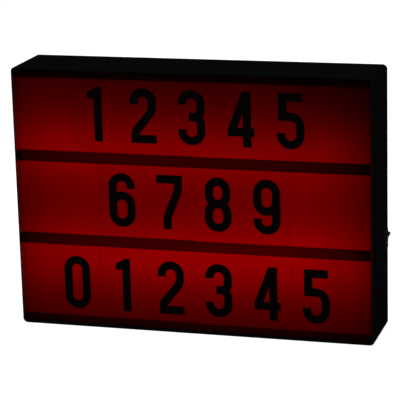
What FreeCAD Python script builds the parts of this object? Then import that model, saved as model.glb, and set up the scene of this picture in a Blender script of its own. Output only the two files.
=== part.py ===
import FreeCAD, Part
import math
import os
import Sketcher

# Cinema light box. X runs along its width, Y from the front to the back and Z up.
# The origin is the centre of the base. All sizes are in millimetres, angles in degrees.

# Housing
WIDTH = 300
DEPTH = 56
WALL = 2
CORNER_RADIUS = 4
INNER_RADIUS = 1.5
RIM_CHAMFER = 0.4
FIT_GAP = 0.2
LEDGE = 3
LEDGE_THICKNESS = 2
RIM_RECESS = 4
PANEL_THICKNESS = 2
PLATE_THICKNESS = 1.2
COVER_THICKNESS = 2.2

# Letter tiles and their rails: the height of the housing follows from them
TILE_WIDTH = 40.5
TILE_GAP = 0.1
TILE_HEIGHT = 65
TILE_THICKNESS = 0.5
TILE_OVERLAP = 1.7
LOWER_GROOVE = 2.2
UPPER_GROOVE = 4.2
GROOVE_WIDTH = 1
FLANGE_THICKNESS = 1
RAIL_HEIGHT = 9.1
BOTTOM_RAIL_HEIGHT = 5.9
TOP_RAIL_HEIGHT = 6.2
RAIL_END_GAP = 1.2
RAIL_ROUNDING = 0.3
ROW_ONE_MIDDLE = 1.7
ROW_TWO_MIDDLE = 1.5
ROW_THREE_MIDDLE = 0.5

# Screws, their bosses in the frame and their pads on the cover
BOSS_RADIUS = 3.5
BOSS_INSET = 9
BOSS_RISE = 7.5
BOSS_WEB = 5
NOTCH_PLAY = 0.3
PAD_DEPTH = 1.2
PAD_WALL = 0.4
SCREW_RADIUS = 1.45
SCREW_LENGTH = 10
SCREW_PLAY = 0.15
SCREW_ROOM = 0.5
HEAD_RADIUS = 2.8
HEAD_HEIGHT = 1.7
HEAD_PLAY = 0.3

# LED strips
STRIP_MARGIN = 12.8
STRIP_WIDTH = 10
STRIP_THICKNESS = 0.6
LED_SIDE = 5
LED_HEIGHT = 1.6
LED_PITCH = 16.7
LENS_SIDE = 3.5
LENS_DEPTH = 0.3

# Battery bay, its contacts and its door
CELL_RADIUS = 7.25
CELL_LENGTH = 50.5
CELL_GAP = 0.5
TIP_RADIUS = 2.75
TIP_HEIGHT = 1
BAY_MARGIN = 1.5
BAY_LOW = 20
BAY_WALL = 1.8
CELL_CLEARANCE = 0.5
CONTACT_WIDTH = 13
CONTACT_DEPTH = 12
CONTACT_THICKNESS = 0.5
TAB_WIDTH = 3
TAB_LENGTH = 6
SLIT_PLAY = 0.1
SPRING_LENGTH = 6.5
SPRING_WIRE = 0.6
SPRING_FOOT = 3.9
SPRING_TIP = 2.5
DOOR_THICKNESS = 2
DOOR_GAP = 0.3
HINGE_RADIUS = 2
HINGE_PIN = 1
HINGE_PLAY = 0.05
PIN_END_PLAY = 0.2
PIN_COVER = 0.3
CATCH_WIDTH = 12
CATCH_DEPTH = 1.5
THUMB_RADIUS = 7
THUMB_DEPTH = 1.2
GRIP_WIDTH = 24
GRIP_PITCH = 2.4
GRIP_GROOVE = 1.2
GRIP_DEPTH = 0.6
GRIP_DROP = 4

# Cover details
KEYHOLE_ACROSS = 90
KEYHOLE_DROP = 28
KEYHOLE_RADIUS = 4
KEYHOLE_SLOT = 4.2
KEYHOLE_RISE = 8
POST_SIDE = 5
POST_ACROSS = 60
POST_GAP = 1
RIB_HEIGHT = 3
RIB_THICKNESS = 1.2
RIB_SPACING = 52.8
RIB_END_GAP = 13

# Control board
BOARD_GAP = 11.7
BOARD_LOW = 40
BOARD_LENGTH = 45
BOARD_HEIGHT = 30
BOARD_THICKNESS = 1.6
BOARD_STANDOFF = 5
BOARD_PLAY = 0.05
GUIDE_GRIP = 1.5
GUIDE_LIP = 1
GUIDE_DROP = 4
SOCKET_WIDTH = 6
SOCKET_HEIGHT = 4.5
SOCKET_DEPTH = 4
SOCKET_INSET = 2
CHIP_LENGTH = 6
CHIP_HEIGHT = 5
CHIP_THICKNESS = 1.5
CHIP_RISE = 10
LEG_LENGTH = 1
LEG_WIDTH = 0.4
LEG_THICKNESS = 0.3
LEG_PITCH = 1.27
COIL_SIDE = 6
COIL_THICKNESS = 3
CAN_RADIUS = 2.5
CAN_HEIGHT = 6.7
CAN_INSET = 12
CAN_RISE = 21
HOLE_WIDTH = 6
HOLE_HEIGHT = 5
HOLE_GAP = 7

# Rocker switch and power jack, in the right wall
SIDE_INSET = 11
SWITCH_HEIGHT = 76.5
SWITCH_FLANGE = 1.5
FLANGE_LIP = 0.7
SWITCH_WALL = 1
SWITCH_DEPTH = 12
ROCKER_WIDTH = 6.4
ROCKER_PLAY = 0.15
ROCKER_REACH = 5.2
ROCKER_RISE = 3.5
ROCKER_DISH = 1.3
ROCKER_TURN = 12
PIVOT_SINK = 0.5
PIVOT_RADIUS = 0.8
PIVOT_PLAY = 0.05
BLADE_LENGTH = 6.5
BLADE_WIDTH = 2.8
BLADE_THICKNESS = 0.6
BLADE_SPREAD = 4
JACK_DROP = 24.5
JACK_RADIUS = 4
JACK_LENGTH = 13
JACK_BORE = 2.9
JACK_BORE_DEPTH = 9.5
JACK_COLLAR = 1.5
JACK_PIN = 1.05
JACK_TAB_LENGTH = 5
JACK_TAB_SPREAD = 2.6

# Inner leads
LEAD_RADIUS = 0.6

# Each size is a row of the sheet, with its alias beside its value
driving = {
    "width": WIDTH, "depth": DEPTH, "wall": WALL, "corner_radius": CORNER_RADIUS,
    "inner_radius": INNER_RADIUS, "rim_chamfer": RIM_CHAMFER, "fit_gap": FIT_GAP, "ledge": LEDGE,
    "ledge_thickness": LEDGE_THICKNESS, "rim_recess": RIM_RECESS, "panel_thickness": PANEL_THICKNESS,
    "plate_thickness": PLATE_THICKNESS, "cover_thickness": COVER_THICKNESS,
    "tile_width": TILE_WIDTH, "tile_gap": TILE_GAP, "tile_height": TILE_HEIGHT,
    "tile_thickness": TILE_THICKNESS, "tile_overlap": TILE_OVERLAP, "lower_groove": LOWER_GROOVE,
    "upper_groove": UPPER_GROOVE, "groove_width": GROOVE_WIDTH, "flange_thickness": FLANGE_THICKNESS,
    "rail_height": RAIL_HEIGHT, "bottom_rail_height": BOTTOM_RAIL_HEIGHT,
    "top_rail_height": TOP_RAIL_HEIGHT, "rail_end_gap": RAIL_END_GAP, "rail_rounding": RAIL_ROUNDING,
    "row_one_middle": ROW_ONE_MIDDLE, "row_two_middle": ROW_TWO_MIDDLE,
    "row_three_middle": ROW_THREE_MIDDLE,
    "boss_radius": BOSS_RADIUS, "boss_inset": BOSS_INSET, "boss_rise": BOSS_RISE, "boss_web": BOSS_WEB,
    "notch_play": NOTCH_PLAY, "pad_depth": PAD_DEPTH, "pad_wall": PAD_WALL, "screw_radius": SCREW_RADIUS,
    "screw_length": SCREW_LENGTH, "screw_play": SCREW_PLAY, "screw_room": SCREW_ROOM,
    "head_radius": HEAD_RADIUS, "head_height": HEAD_HEIGHT, "head_play": HEAD_PLAY,
    "strip_margin": STRIP_MARGIN, "strip_width": STRIP_WIDTH, "strip_thickness": STRIP_THICKNESS,
    "led_side": LED_SIDE, "led_height": LED_HEIGHT, "led_pitch": LED_PITCH, "lens_side": LENS_SIDE,
    "lens_depth": LENS_DEPTH,
    "cell_radius": CELL_RADIUS, "cell_length": CELL_LENGTH, "cell_gap": CELL_GAP, "tip_radius": TIP_RADIUS,
    "tip_height": TIP_HEIGHT, "bay_margin": BAY_MARGIN, "bay_low": BAY_LOW, "bay_wall": BAY_WALL,
    "cell_clearance": CELL_CLEARANCE, "contact_width": CONTACT_WIDTH, "contact_depth": CONTACT_DEPTH,
    "contact_thickness": CONTACT_THICKNESS, "tab_width": TAB_WIDTH, "tab_length": TAB_LENGTH,
    "slit_play": SLIT_PLAY, "spring_length": SPRING_LENGTH, "spring_wire": SPRING_WIRE,
    "spring_foot": SPRING_FOOT, "spring_tip": SPRING_TIP, "door_thickness": DOOR_THICKNESS,
    "door_gap": DOOR_GAP, "hinge_radius": HINGE_RADIUS, "hinge_pin": HINGE_PIN, "hinge_play": HINGE_PLAY,
    "pin_end_play": PIN_END_PLAY, "pin_cover": PIN_COVER, "catch_width": CATCH_WIDTH,
    "catch_depth": CATCH_DEPTH, "thumb_radius": THUMB_RADIUS, "thumb_depth": THUMB_DEPTH,
    "grip_width": GRIP_WIDTH, "grip_pitch": GRIP_PITCH, "grip_groove": GRIP_GROOVE,
    "grip_depth": GRIP_DEPTH, "grip_drop": GRIP_DROP,
    "keyhole_across": KEYHOLE_ACROSS, "keyhole_drop": KEYHOLE_DROP, "keyhole_radius": KEYHOLE_RADIUS,
    "keyhole_slot": KEYHOLE_SLOT, "keyhole_rise": KEYHOLE_RISE, "post_side": POST_SIDE,
    "post_across": POST_ACROSS, "post_gap": POST_GAP, "rib_height": RIB_HEIGHT,
    "rib_thickness": RIB_THICKNESS, "rib_spacing": RIB_SPACING, "rib_end_gap": RIB_END_GAP,
    "board_gap": BOARD_GAP, "board_low": BOARD_LOW, "board_length": BOARD_LENGTH,
    "board_height": BOARD_HEIGHT, "board_thickness": BOARD_THICKNESS, "board_standoff": BOARD_STANDOFF,
    "board_play": BOARD_PLAY, "guide_grip": GUIDE_GRIP, "guide_lip": GUIDE_LIP, "guide_drop": GUIDE_DROP,
    "socket_width": SOCKET_WIDTH, "socket_height": SOCKET_HEIGHT, "socket_depth": SOCKET_DEPTH,
    "socket_inset": SOCKET_INSET, "chip_length": CHIP_LENGTH, "chip_height": CHIP_HEIGHT,
    "chip_thickness": CHIP_THICKNESS, "chip_rise": CHIP_RISE, "leg_length": LEG_LENGTH,
    "leg_width": LEG_WIDTH, "leg_thickness": LEG_THICKNESS, "leg_pitch": LEG_PITCH, "coil_side": COIL_SIDE,
    "coil_thickness": COIL_THICKNESS, "can_radius": CAN_RADIUS, "can_height": CAN_HEIGHT,
    "can_inset": CAN_INSET, "can_rise": CAN_RISE, "hole_width": HOLE_WIDTH, "hole_height": HOLE_HEIGHT,
    "hole_gap": HOLE_GAP,
    "side_inset": SIDE_INSET, "switch_height": SWITCH_HEIGHT, "switch_flange": SWITCH_FLANGE,
    "flange_lip": FLANGE_LIP, "switch_wall": SWITCH_WALL, "switch_depth": SWITCH_DEPTH,
    "rocker_width": ROCKER_WIDTH, "rocker_play": ROCKER_PLAY, "rocker_reach": ROCKER_REACH,
    "rocker_rise": ROCKER_RISE, "rocker_dish": ROCKER_DISH, "rocker_turn": ROCKER_TURN,
    "pivot_sink": PIVOT_SINK, "pivot_radius": PIVOT_RADIUS, "pivot_play": PIVOT_PLAY,
    "blade_length": BLADE_LENGTH, "blade_width": BLADE_WIDTH, "blade_thickness": BLADE_THICKNESS,
    "blade_spread": BLADE_SPREAD, "jack_drop": JACK_DROP, "jack_radius": JACK_RADIUS,
    "jack_length": JACK_LENGTH, "jack_bore": JACK_BORE, "jack_bore_depth": JACK_BORE_DEPTH,
    "jack_collar": JACK_COLLAR, "jack_pin": JACK_PIN, "jack_tab_length": JACK_TAB_LENGTH,
    "jack_tab_spread": JACK_TAB_SPREAD,
    "lead_radius": LEAD_RADIUS,
}
doc = FreeCAD.newDocument("cinema_light_box")
sheet = doc.addObject("Spreadsheet::Sheet", "sizes")
for row, (alias, value) in enumerate(driving.items(), 1):
    sheet.set("A%d" % row, alias)
    sheet.set("B%d" % row, str(value))
    sheet.setAlias("B%d" % row, alias)
doc.recompute()

# How many tiles stand in each row, from the bottom row up
TILE_COUNTS = (6, 4, 5)


def amount(text):
    """What an expression over the driving sizes comes to."""
    sheet.set("D1", "=" + text.replace("sizes.", ""))
    sheet.recompute()
    return float(sheet.get("D1"))


HALF_WIDTH = "(sizes.width / 2)"
INNER_X = "(sizes.width / 2 - sizes.wall)"
FRONT = "(-sizes.depth / 2)"
BACK = "(sizes.depth / 2)"
PANEL_FRONT = "(sizes.rim_recess - sizes.depth / 2)"
PANEL_BACK = "(%s + sizes.panel_thickness)" % PANEL_FRONT
COVER_FRONT = "(%s - sizes.cover_thickness)" % BACK
PAD_FRONT = "(%s - sizes.pad_depth)" % COVER_FRONT

# Rows, from the bottom rail up
PANEL_LOW = "(sizes.wall + sizes.fit_gap)"
ROW_HEIGHT = "(sizes.tile_height - sizes.lower_groove - sizes.tile_overlap)"
ROW_PITCH = "(%s + sizes.rail_height)" % ROW_HEIGHT
FIRST_ROW = "(%s + sizes.bottom_rail_height)" % PANEL_LOW
TOP_RAIL = "(%s + 2 * %s + %s)" % (FIRST_ROW, ROW_PITCH, ROW_HEIGHT)
PANEL_TOP = "(%s + sizes.top_rail_height)" % TOP_RAIL
INNER_TOP = "(%s + sizes.fit_gap)" % PANEL_TOP
HEIGHT = "(%s + sizes.wall)" % INNER_TOP

# The battery bay sets how far the LED plate stands from the back
DOOR_FRONT = "(%s - sizes.door_thickness)" % BACK
HINGE_Y = "(%s - sizes.hinge_radius)" % BACK
BARREL_FRONT = "(%s - sizes.hinge_radius)" % HINGE_Y
BAY_FLOOR = "(%s - sizes.cell_clearance - 2 * sizes.cell_radius)" % BARREL_FRONT
PLATE_BACK = "(%s - sizes.bay_wall)" % BAY_FLOOR
PLATE_FRONT = "(%s - sizes.plate_thickness)" % PLATE_BACK
CELL_PITCH = "(2 * sizes.cell_radius + sizes.cell_gap)"
BAY_HALF = "(3 * %s + sizes.bay_margin)" % CELL_PITCH
CELL_ROOM = "(sizes.cell_length + sizes.spring_length + 2 * sizes.contact_thickness)"
BAY_HIGH = "(sizes.bay_low + %s)" % CELL_ROOM
HINGE_HEIGHT = "(sizes.bay_low + sizes.hinge_radius + sizes.door_gap)"

PLANES = {"x": "YZ_Plane", "y": "XZ_Plane", "z": "XY_Plane"}
parts = {}


def new_body(name):
    body = doc.addObject("PartDesign::Body", name)
    body.Label = name
    parts[name] = body
    return body


def rectangle(left, right, low, high):
    return [(left, low), (right, low), (right, high), (left, high)]


def around(u, v, half_u, half_v):
    """A rectangle about a centre."""
    left = "(%s) - (%s)" % (u, half_u)
    right = "(%s) + (%s)" % (u, half_u)
    low = "(%s) - (%s)" % (v, half_v)
    high = "(%s) + (%s)" % (v, half_v)
    return rectangle(left, right, low, high)


def hold_point(sketch, curve, spot, u, v):
    """Holds one point of a curve at two sizes from the origin."""
    for kind, text in (("DistanceX", u), ("DistanceY", v)):
        held = sketch.addConstraint(Sketcher.Constraint(kind, -1, 1, curve, spot, 0.5))
        sketch.setExpression("Constraints[%d]" % held, text)


def draw(sketch, shape):
    """Draws a polygon (a list of corners) or a circle (centre and radius)."""
    first = sketch.GeometryCount
    if isinstance(shape, tuple):
        start = Part.Circle(FreeCAD.Vector(1, 1, 0), FreeCAD.Vector(0, 0, 1), 1)
        sketch.addGeometry(start, False)
        hold_point(sketch, first, 3, shape[0], shape[1])
        held = sketch.addConstraint(Sketcher.Constraint("Radius", first, 1))
        sketch.setExpression("Constraints[%d]" % held, shape[2])
        return
    count = len(shape)
    ring = []
    for k in range(count):
        turn = 2 * math.pi * k / count
        ring.append(FreeCAD.Vector(math.cos(turn), math.sin(turn), 0))
    for k in range(count):
        sketch.addGeometry(Part.LineSegment(ring[k], ring[(k + 1) % count]), False)
    for k in range(count):
        after = first + (k + 1) % count
        sketch.addConstraint(Sketcher.Constraint("Coincident", first + k, 2, after, 1))
    for k in range(count):
        hold_point(sketch, first + k, 1, shape[k][0], shape[k][1])


def profile(body, axis, level, shapes):
    """A sketch across one axis of the body, at a level along it."""
    sketch = body.newObject("Sketcher::SketchObject", "profile")
    for plane in body.Origin.OriginFeatures:
        if plane.Role == PLANES[axis]:
            sketch.AttachmentSupport = (plane, [""])
    sketch.MapMode = "FlatFace"
    sign = "-1 * " if axis == "y" else ""
    sketch.setExpression("AttachmentOffset.Base.z", "%s(%s)" % (sign, level))
    for shape in shapes:
        draw(sketch, shape)
    return sketch


def extrude(body, kind, axis, low, high, shapes):
    feature = body.newObject("PartDesign::" + kind, kind.lower())
    feature.Profile = profile(body, axis, low, shapes)
    feature.setExpression("Length", "(%s) - (%s)" % (high, low))
    feature.Reversed = (kind == "Pad") == (axis == "y")
    doc.recompute()
    body.Tip = feature
    return feature


def add(body, axis, low, high, *shapes):
    return extrude(body, "Pad", axis, low, high, shapes)


def cut(body, axis, low, high, *shapes):
    return extrude(body, "Pocket", axis, low, high, shapes)


def runs(edge, axis):
    """Whether a straight edge runs along an axis."""
    if not isinstance(edge.Curve, Part.Line):
        return False
    return abs(getattr(edge.tangentAt(edge.FirstParameter), axis)) > 0.999


def dress(body, kind, quantity, text, chosen):
    """A fillet or a chamfer on the edges that a test picks."""
    base = body.Tip
    names = []
    for number, edge in enumerate(base.Shape.Edges, 1):
        if chosen(edge):
            names.append("Edge%d" % number)
    feature = body.newObject("PartDesign::" + kind, kind.lower())
    feature.Base = (base, names)
    feature.setExpression(quantity, text)
    doc.recompute()
    body.Tip = feature
    return feature


def fillet(body, radius, chosen):
    return dress(body, "Fillet", "Radius", radius, chosen)


def chamfer(body, width, chosen):
    return dress(body, "Chamfer", "Size", width, chosen)


def solid(name, shape):
    """A sub-part made of plain shapes, such as a bought-in piece."""
    feature = doc.addObject("Part::Feature", name)
    feature.Label = name
    feature.Shape = shape
    parts[name] = feature
    return feature


def block(x0, x1, y0, y1, z0, z1):
    return Part.makeBox(x1 - x0, y1 - y0, z1 - z0, FreeCAD.Vector(x0, y0, z0))


def rod(radius, start, end):
    a = FreeCAD.Vector(*start)
    b = FreeCAD.Vector(*end)
    return Part.makeCylinder(radius, (b - a).Length, a, b - a)


half_width = amount(HALF_WIDTH)
inner_x = amount(INNER_X)
inner_top = amount(INNER_TOP)
height = amount(HEIGHT)
wall = amount("sizes.wall")
back = amount(BACK)

# Frame: four walls with rounded corners

frame = new_body("frame")
add(frame, "y", FRONT, BACK, rectangle("-" + HALF_WIDTH, HALF_WIDTH, "0", HEIGHT))
fillet(frame, "sizes.corner_radius", lambda edge: runs(edge, "y"))
cut(frame, "y", FRONT, BACK, rectangle("-" + INNER_X, INNER_X, "sizes.wall", INNER_TOP))


def inner_corner(edge):
    middle = edge.CenterOfMass
    at_side = abs(abs(middle.x) - inner_x) < 0.01
    at_end = min(abs(middle.z - wall), abs(middle.z - inner_top)) < 0.01
    return runs(edge, "y") and at_side and at_end


def outer_rim(edge):
    box = edge.BoundBox
    at_rim = box.YLength < 0.01 and abs(abs(box.YMin) - back) < 0.01
    at_side = max(abs(box.XMin), abs(box.XMax)) > half_width - 0.01
    at_end = box.ZMin < 0.01 or box.ZMax > height - 0.01
    return at_rim and (at_side or at_end)


fillet(frame, "sizes.inner_radius", inner_corner)
chamfer(frame, "sizes.rim_chamfer", outer_rim)

# A ledge behind the panel and a shelf in front of the LED plate run round inside the walls
ROOT = "0.5"
ring_outer = rectangle("-%s - %s" % (INNER_X, ROOT), "%s + %s" % (INNER_X, ROOT),
                       "sizes.wall - " + ROOT, "%s + %s" % (INNER_TOP, ROOT))
RING_X = "(%s - sizes.ledge)" % INNER_X
ring_inner = rectangle("-" + RING_X, RING_X, "sizes.wall + sizes.ledge",
                       "%s - sizes.ledge" % INNER_TOP)
SHELF = "(%s - sizes.ledge_thickness)" % PLATE_FRONT
add(frame, "y", PANEL_BACK, "%s + sizes.ledge_thickness" % PANEL_BACK, ring_outer, ring_inner)
add(frame, "y", SHELF, PLATE_FRONT, ring_outer, ring_inner)

# A screw boss near each corner, with a web to the wall
BOSS_X = "(%s - sizes.boss_inset)" % HALF_WIDTH
BOSS_LOW = "sizes.boss_rise"
BOSS_TOP = "(%s - sizes.boss_rise)" % HEIGHT
boss_spots = [("-" + BOSS_X, BOSS_LOW), (BOSS_X, BOSS_LOW), ("-" + BOSS_X, BOSS_TOP), (BOSS_X, BOSS_TOP)]
webs = []
for x, z in boss_spots:
    low, high = ("sizes.wall - " + ROOT, z) if z == BOSS_LOW else (z, "%s + %s" % (INNER_TOP, ROOT))
    webs.append(rectangle(x + " - sizes.boss_web / 2", x + " + sizes.boss_web / 2", low, high))
add(frame, "y", SHELF, PAD_FRONT, *[(x, z, "sizes.boss_radius") for x, z in boss_spots])
add(frame, "y", SHELF, PAD_FRONT, *webs)
HEAD_SEAT = "(%s - sizes.head_height - sizes.head_play)" % BACK
PILOT_END = "(%s - sizes.screw_length - sizes.screw_room)" % HEAD_SEAT
cut(frame, "y", PILOT_END, PAD_FRONT, *[(x, z, "sizes.screw_radius") for x, z in boss_spots])

# Switch cut-out and jack hole in the right wall
SIDE_Y = "(%s - sizes.side_inset)" % BACK
switch_centre = (SIDE_Y, "sizes.switch_height")
JACK_Z = "(sizes.switch_height - sizes.jack_drop)"
jack_centre = (SIDE_Y, JACK_Z)
PIVOT_REACH = "(sqrt(sizes.rocker_reach * sizes.rocker_reach + sizes.rocker_rise * sizes.rocker_rise))"
CAVITY_HALF = "(%s + sizes.rocker_play)" % PIVOT_REACH
SWITCH_HALF_HEIGHT = "(%s + sizes.switch_wall * 0.8)" % CAVITY_HALF
SLOT_HALF = "(sizes.rocker_width / 2 + sizes.rocker_play)"
SWITCH_HALF_WIDTH = "(%s + sizes.switch_wall)" % SLOT_HALF
cut(frame, "x", INNER_X + " - 1", HALF_WIDTH + " + 1",
    around(*switch_centre, SWITCH_HALF_WIDTH + " + sizes.fit_gap", SWITCH_HALF_HEIGHT + " + sizes.fit_gap"))
cut(frame, "x", INNER_X + " - 1", HALF_WIDTH + " + 1", jack_centre + ("sizes.jack_radius + sizes.pivot_play",))

# Lit panel

PANEL_X = "(%s - sizes.fit_gap)" % INNER_X
panel_outline = rectangle("-" + PANEL_X, PANEL_X, PANEL_LOW, PANEL_TOP)
PLATE_CORNER = "(sizes.inner_radius + sizes.fit_gap)"

diffuser_panel = new_body("diffuser_panel")
add(diffuser_panel, "y", PANEL_FRONT, PANEL_BACK, panel_outline)
fillet(diffuser_panel, PLATE_CORNER, lambda edge: runs(edge, "y"))

# Rails: a web glued on the panel and a flange in front of the tiles' edges

RAIL_X = "(%s - sizes.rail_end_gap)" % INNER_X
WEB_FRONT = "(%s - sizes.groove_width)" % PANEL_FRONT
RAIL_FRONT = "(%s - sizes.flange_thickness)" % WEB_FRONT
rail_front = amount(RAIL_FRONT)


def rail(name, low, high, web_low, web_high):
    body = new_body(name)
    add(body, "x", "-" + RAIL_X, RAIL_X, rectangle(RAIL_FRONT, WEB_FRONT, low, high))
    add(body, "x", "-" + RAIL_X, RAIL_X, rectangle(WEB_FRONT, PANEL_FRONT, web_low, web_high))

    def front_corner(edge):
        return runs(edge, "x") and abs(edge.CenterOfMass.y - rail_front) < 0.01

    fillet(body, "sizes.rail_rounding", front_corner)


rail("rail_bottom", PANEL_LOW, FIRST_ROW, PANEL_LOW, FIRST_ROW + " - sizes.lower_groove")
for level, name in enumerate(("rail_lower", "rail_upper")):
    low = "(%s + %d * %s + %s)" % (FIRST_ROW, level, ROW_PITCH, ROW_HEIGHT)
    high = "(%s + sizes.rail_height)" % low
    rail(name, low, high, low + " + sizes.upper_groove", high + " - sizes.lower_groove")
rail("rail_top", TOP_RAIL, PANEL_TOP, TOP_RAIL + " + sizes.upper_groove", PANEL_TOP)

# Letter tiles: nearly edge to edge in three rows, each row about its own middle

TILE_MIDDLE = "(%s - sizes.groove_width / 2)" % PANEL_FRONT
TILE_PITCH = "(sizes.tile_width + sizes.tile_gap)"
TILE_ROWS = [("tile_row3", "sizes.row_three_middle"), ("tile_row2", "sizes.row_two_middle"),
             ("tile_row1", "sizes.row_one_middle")]
for level, (row_name, row_middle) in enumerate(TILE_ROWS):
    count = TILE_COUNTS[level]
    tile_low = "(%s + %d * %s - sizes.lower_groove)" % (FIRST_ROW, level, ROW_PITCH)
    for k in range(count):
        tile = new_body("%s_%d" % (row_name, k + 1))
        middle = "(%s + (%s) * %s)" % (row_middle, k - (count - 1) / 2, TILE_PITCH)
        card = rectangle(middle + " - sizes.tile_width / 2", middle + " + sizes.tile_width / 2",
                         tile_low, tile_low + " + sizes.tile_height")
        add(tile, "y", TILE_MIDDLE + " - sizes.tile_thickness / 2",
            TILE_MIDDLE + " + sizes.tile_thickness / 2", card)

# LED plate, notched round the bosses, with a hole for the leads

led_plate = new_body("led_plate")
add(led_plate, "y", PLATE_FRONT, PLATE_BACK, panel_outline)
fillet(led_plate, PLATE_CORNER, lambda edge: runs(edge, "y"))
notches = []
NOTCH = "(sizes.boss_radius + sizes.notch_play)"
for x, z in boss_spots:
    low, high = ("sizes.wall - 1", z + " + " + NOTCH)
    if z == BOSS_TOP:
        low, high = (z + " - " + NOTCH, INNER_TOP + " + 1")
    notches.append(rectangle(x + " - " + NOTCH, x + " + " + NOTCH, low, high))
cut(led_plate, "y", PLATE_FRONT, PLATE_BACK, *notches)
BOARD_LEFT = "(%s + sizes.bay_wall + sizes.board_gap)" % BAY_HALF
BOARD_RIGHT = "(%s + sizes.board_length)" % BOARD_LEFT
HOLE_X = "(%s + sizes.hole_gap)" % BOARD_RIGHT
HOLE_Z = "(%s + %s + %s / 2)" % (FIRST_ROW, ROW_PITCH, ROW_HEIGHT)
cut(led_plate, "y", PLATE_FRONT, PLATE_BACK,
    around(HOLE_X, HOLE_Z, "sizes.hole_width / 2", "sizes.hole_height / 2"))

# LED strips behind the two middle rails, with their LEDs in a row

STRIP_HALF = "(%s - sizes.strip_margin)" % PANEL_X
STRIP_FRONT = "(%s - sizes.strip_thickness)" % PLATE_FRONT
strip_half = amount(STRIP_HALF)
strip_front = amount(STRIP_FRONT)
led_front = strip_front - amount("sizes.led_height")
lens_back = led_front + amount("sizes.lens_depth")
led_half = amount("sizes.led_side / 2")
lens = amount("sizes.lens_side / 2")
led_pitch = amount("sizes.led_pitch")
led_count = int(2 * strip_half / led_pitch)
strip_heights = []
for level, where in enumerate(("lower", "upper")):
    strip_z = "(%s + %d * %s + %s + sizes.rail_height / 2)" % (FIRST_ROW, level, ROW_PITCH, ROW_HEIGHT)
    strip = new_body("led_strip_" + where)
    add(strip, "y", STRIP_FRONT, PLATE_FRONT, around("0", strip_z, STRIP_HALF, "sizes.strip_width / 2"))
    z = amount(strip_z)
    strip_heights.append(z)
    packages = []
    for k in range(led_count):
        x = (k - (led_count - 1) / 2) * led_pitch
        package = block(x - led_half, x + led_half, led_front, strip_front, z - led_half, z + led_half)
        window = block(x - lens, x + lens, led_front, lens_back, z - lens, z + lens)
        packages.append(package.cut(window))
    solid("leds_" + where, Part.makeCompound(packages))

# Back cover: a plate with the battery bay, posts, ribs, keyholes and screw pads

back_cover = new_body("back_cover")
add(back_cover, "y", COVER_FRONT, BACK, panel_outline)
fillet(back_cover, PLATE_CORNER, lambda edge: runs(edge, "y"))
add(back_cover, "y", PLATE_BACK, COVER_FRONT,
    rectangle("-%s - sizes.bay_wall" % BAY_HALF, "%s + sizes.bay_wall" % BAY_HALF,
              "sizes.bay_low - sizes.bay_wall", "%s + sizes.bay_wall" % BAY_HIGH))
cut(back_cover, "y", BAY_FLOOR, BACK, rectangle("-" + BAY_HALF, BAY_HALF, "sizes.bay_low", BAY_HIGH))
door_ledge = rectangle("-sizes.catch_width / 2", "sizes.catch_width / 2",
                       BAY_HIGH + " - sizes.catch_depth", BAY_HIGH + " + " + ROOT)
add(back_cover, "y", BARREL_FRONT, DOOR_FRONT, door_ledge)
KEYHOLE_Z = "(%s - sizes.keyhole_drop)" % HEIGHT
POST_Z = "(%s - sizes.keyhole_radius - sizes.post_gap)" % KEYHOLE_Z
posts = []
for x in ("-sizes.post_across", "sizes.post_across"):
    posts.append(around(x, POST_Z, "sizes.post_side / 2", "sizes.post_side / 2"))
add(back_cover, "y", PLATE_BACK, COVER_FRONT, *posts)
RIB_X = "(%s - sizes.rib_end_gap)" % INNER_X
ribs = []
for rib_z in (POST_Z, "(%s - sizes.rib_spacing)" % POST_Z):
    ribs.append(around("0", rib_z, RIB_X, "sizes.rib_thickness / 2"))
add(back_cover, "y", "%s - sizes.rib_height" % COVER_FRONT, COVER_FRONT, *ribs)
PAD_HALF = "(sizes.head_radius + sizes.head_play + sizes.pad_wall)"
add(back_cover, "y", PAD_FRONT, COVER_FRONT, *[around(x, z, PAD_HALF, PAD_HALF) for x, z in boss_spots])
cut(back_cover, "y", PAD_FRONT, BACK,
    *[(x, z, "sizes.screw_radius + sizes.screw_play") for x, z in boss_spots])
cut(back_cover, "y", HEAD_SEAT, BACK, *[(x, z, "sizes.head_radius + sizes.head_play") for x, z in boss_spots])

# Keyholes for hanging: a round entry and a slot above it
for x in ("-sizes.keyhole_across", "sizes.keyhole_across"):
    cut(back_cover, "y", COVER_FRONT, BACK, (x, KEYHOLE_Z, "sizes.keyhole_radius"))
    cut(back_cover, "y", COVER_FRONT, BACK,
        rectangle(x + " - sizes.keyhole_slot / 2", x + " + sizes.keyhole_slot / 2",
                  KEYHOLE_Z, KEYHOLE_Z + " + sizes.keyhole_rise"))

# Hinge holes in the bay's cheeks, and a thumb notch above the door
HOLE_END = "(%s + sizes.bay_wall - sizes.pin_cover)" % BAY_HALF
hinge_hole = (HINGE_Y, HINGE_HEIGHT, "sizes.hinge_pin + sizes.hinge_play")
cut(back_cover, "x", "-" + HOLE_END, "-" + BAY_HALF, hinge_hole)
cut(back_cover, "x", BAY_HALF, HOLE_END, hinge_hole)
cut(back_cover, "y", BACK + " - sizes.thumb_depth", BACK, ("0", BAY_HIGH, "sizes.thumb_radius"))

# Slits through which the two end contacts' tabs leave the bay
END_CELL = "(2.5 * %s)" % CELL_PITCH
CELL_Y = "(%s + sizes.cell_radius)" % BAY_FLOOR
SLIT_X = "(sizes.tab_width / 2 + sizes.slit_play)"
SLIT_Y = "(sizes.contact_thickness / 2 + sizes.slit_play / 2)"
slits = [around("-" + END_CELL, CELL_Y, SLIT_X, SLIT_Y), around(END_CELL, CELL_Y, SLIT_X, SLIT_Y)]
cut(back_cover, "z", BAY_HIGH, BAY_HIGH + " + sizes.bay_wall", *slits)

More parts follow.
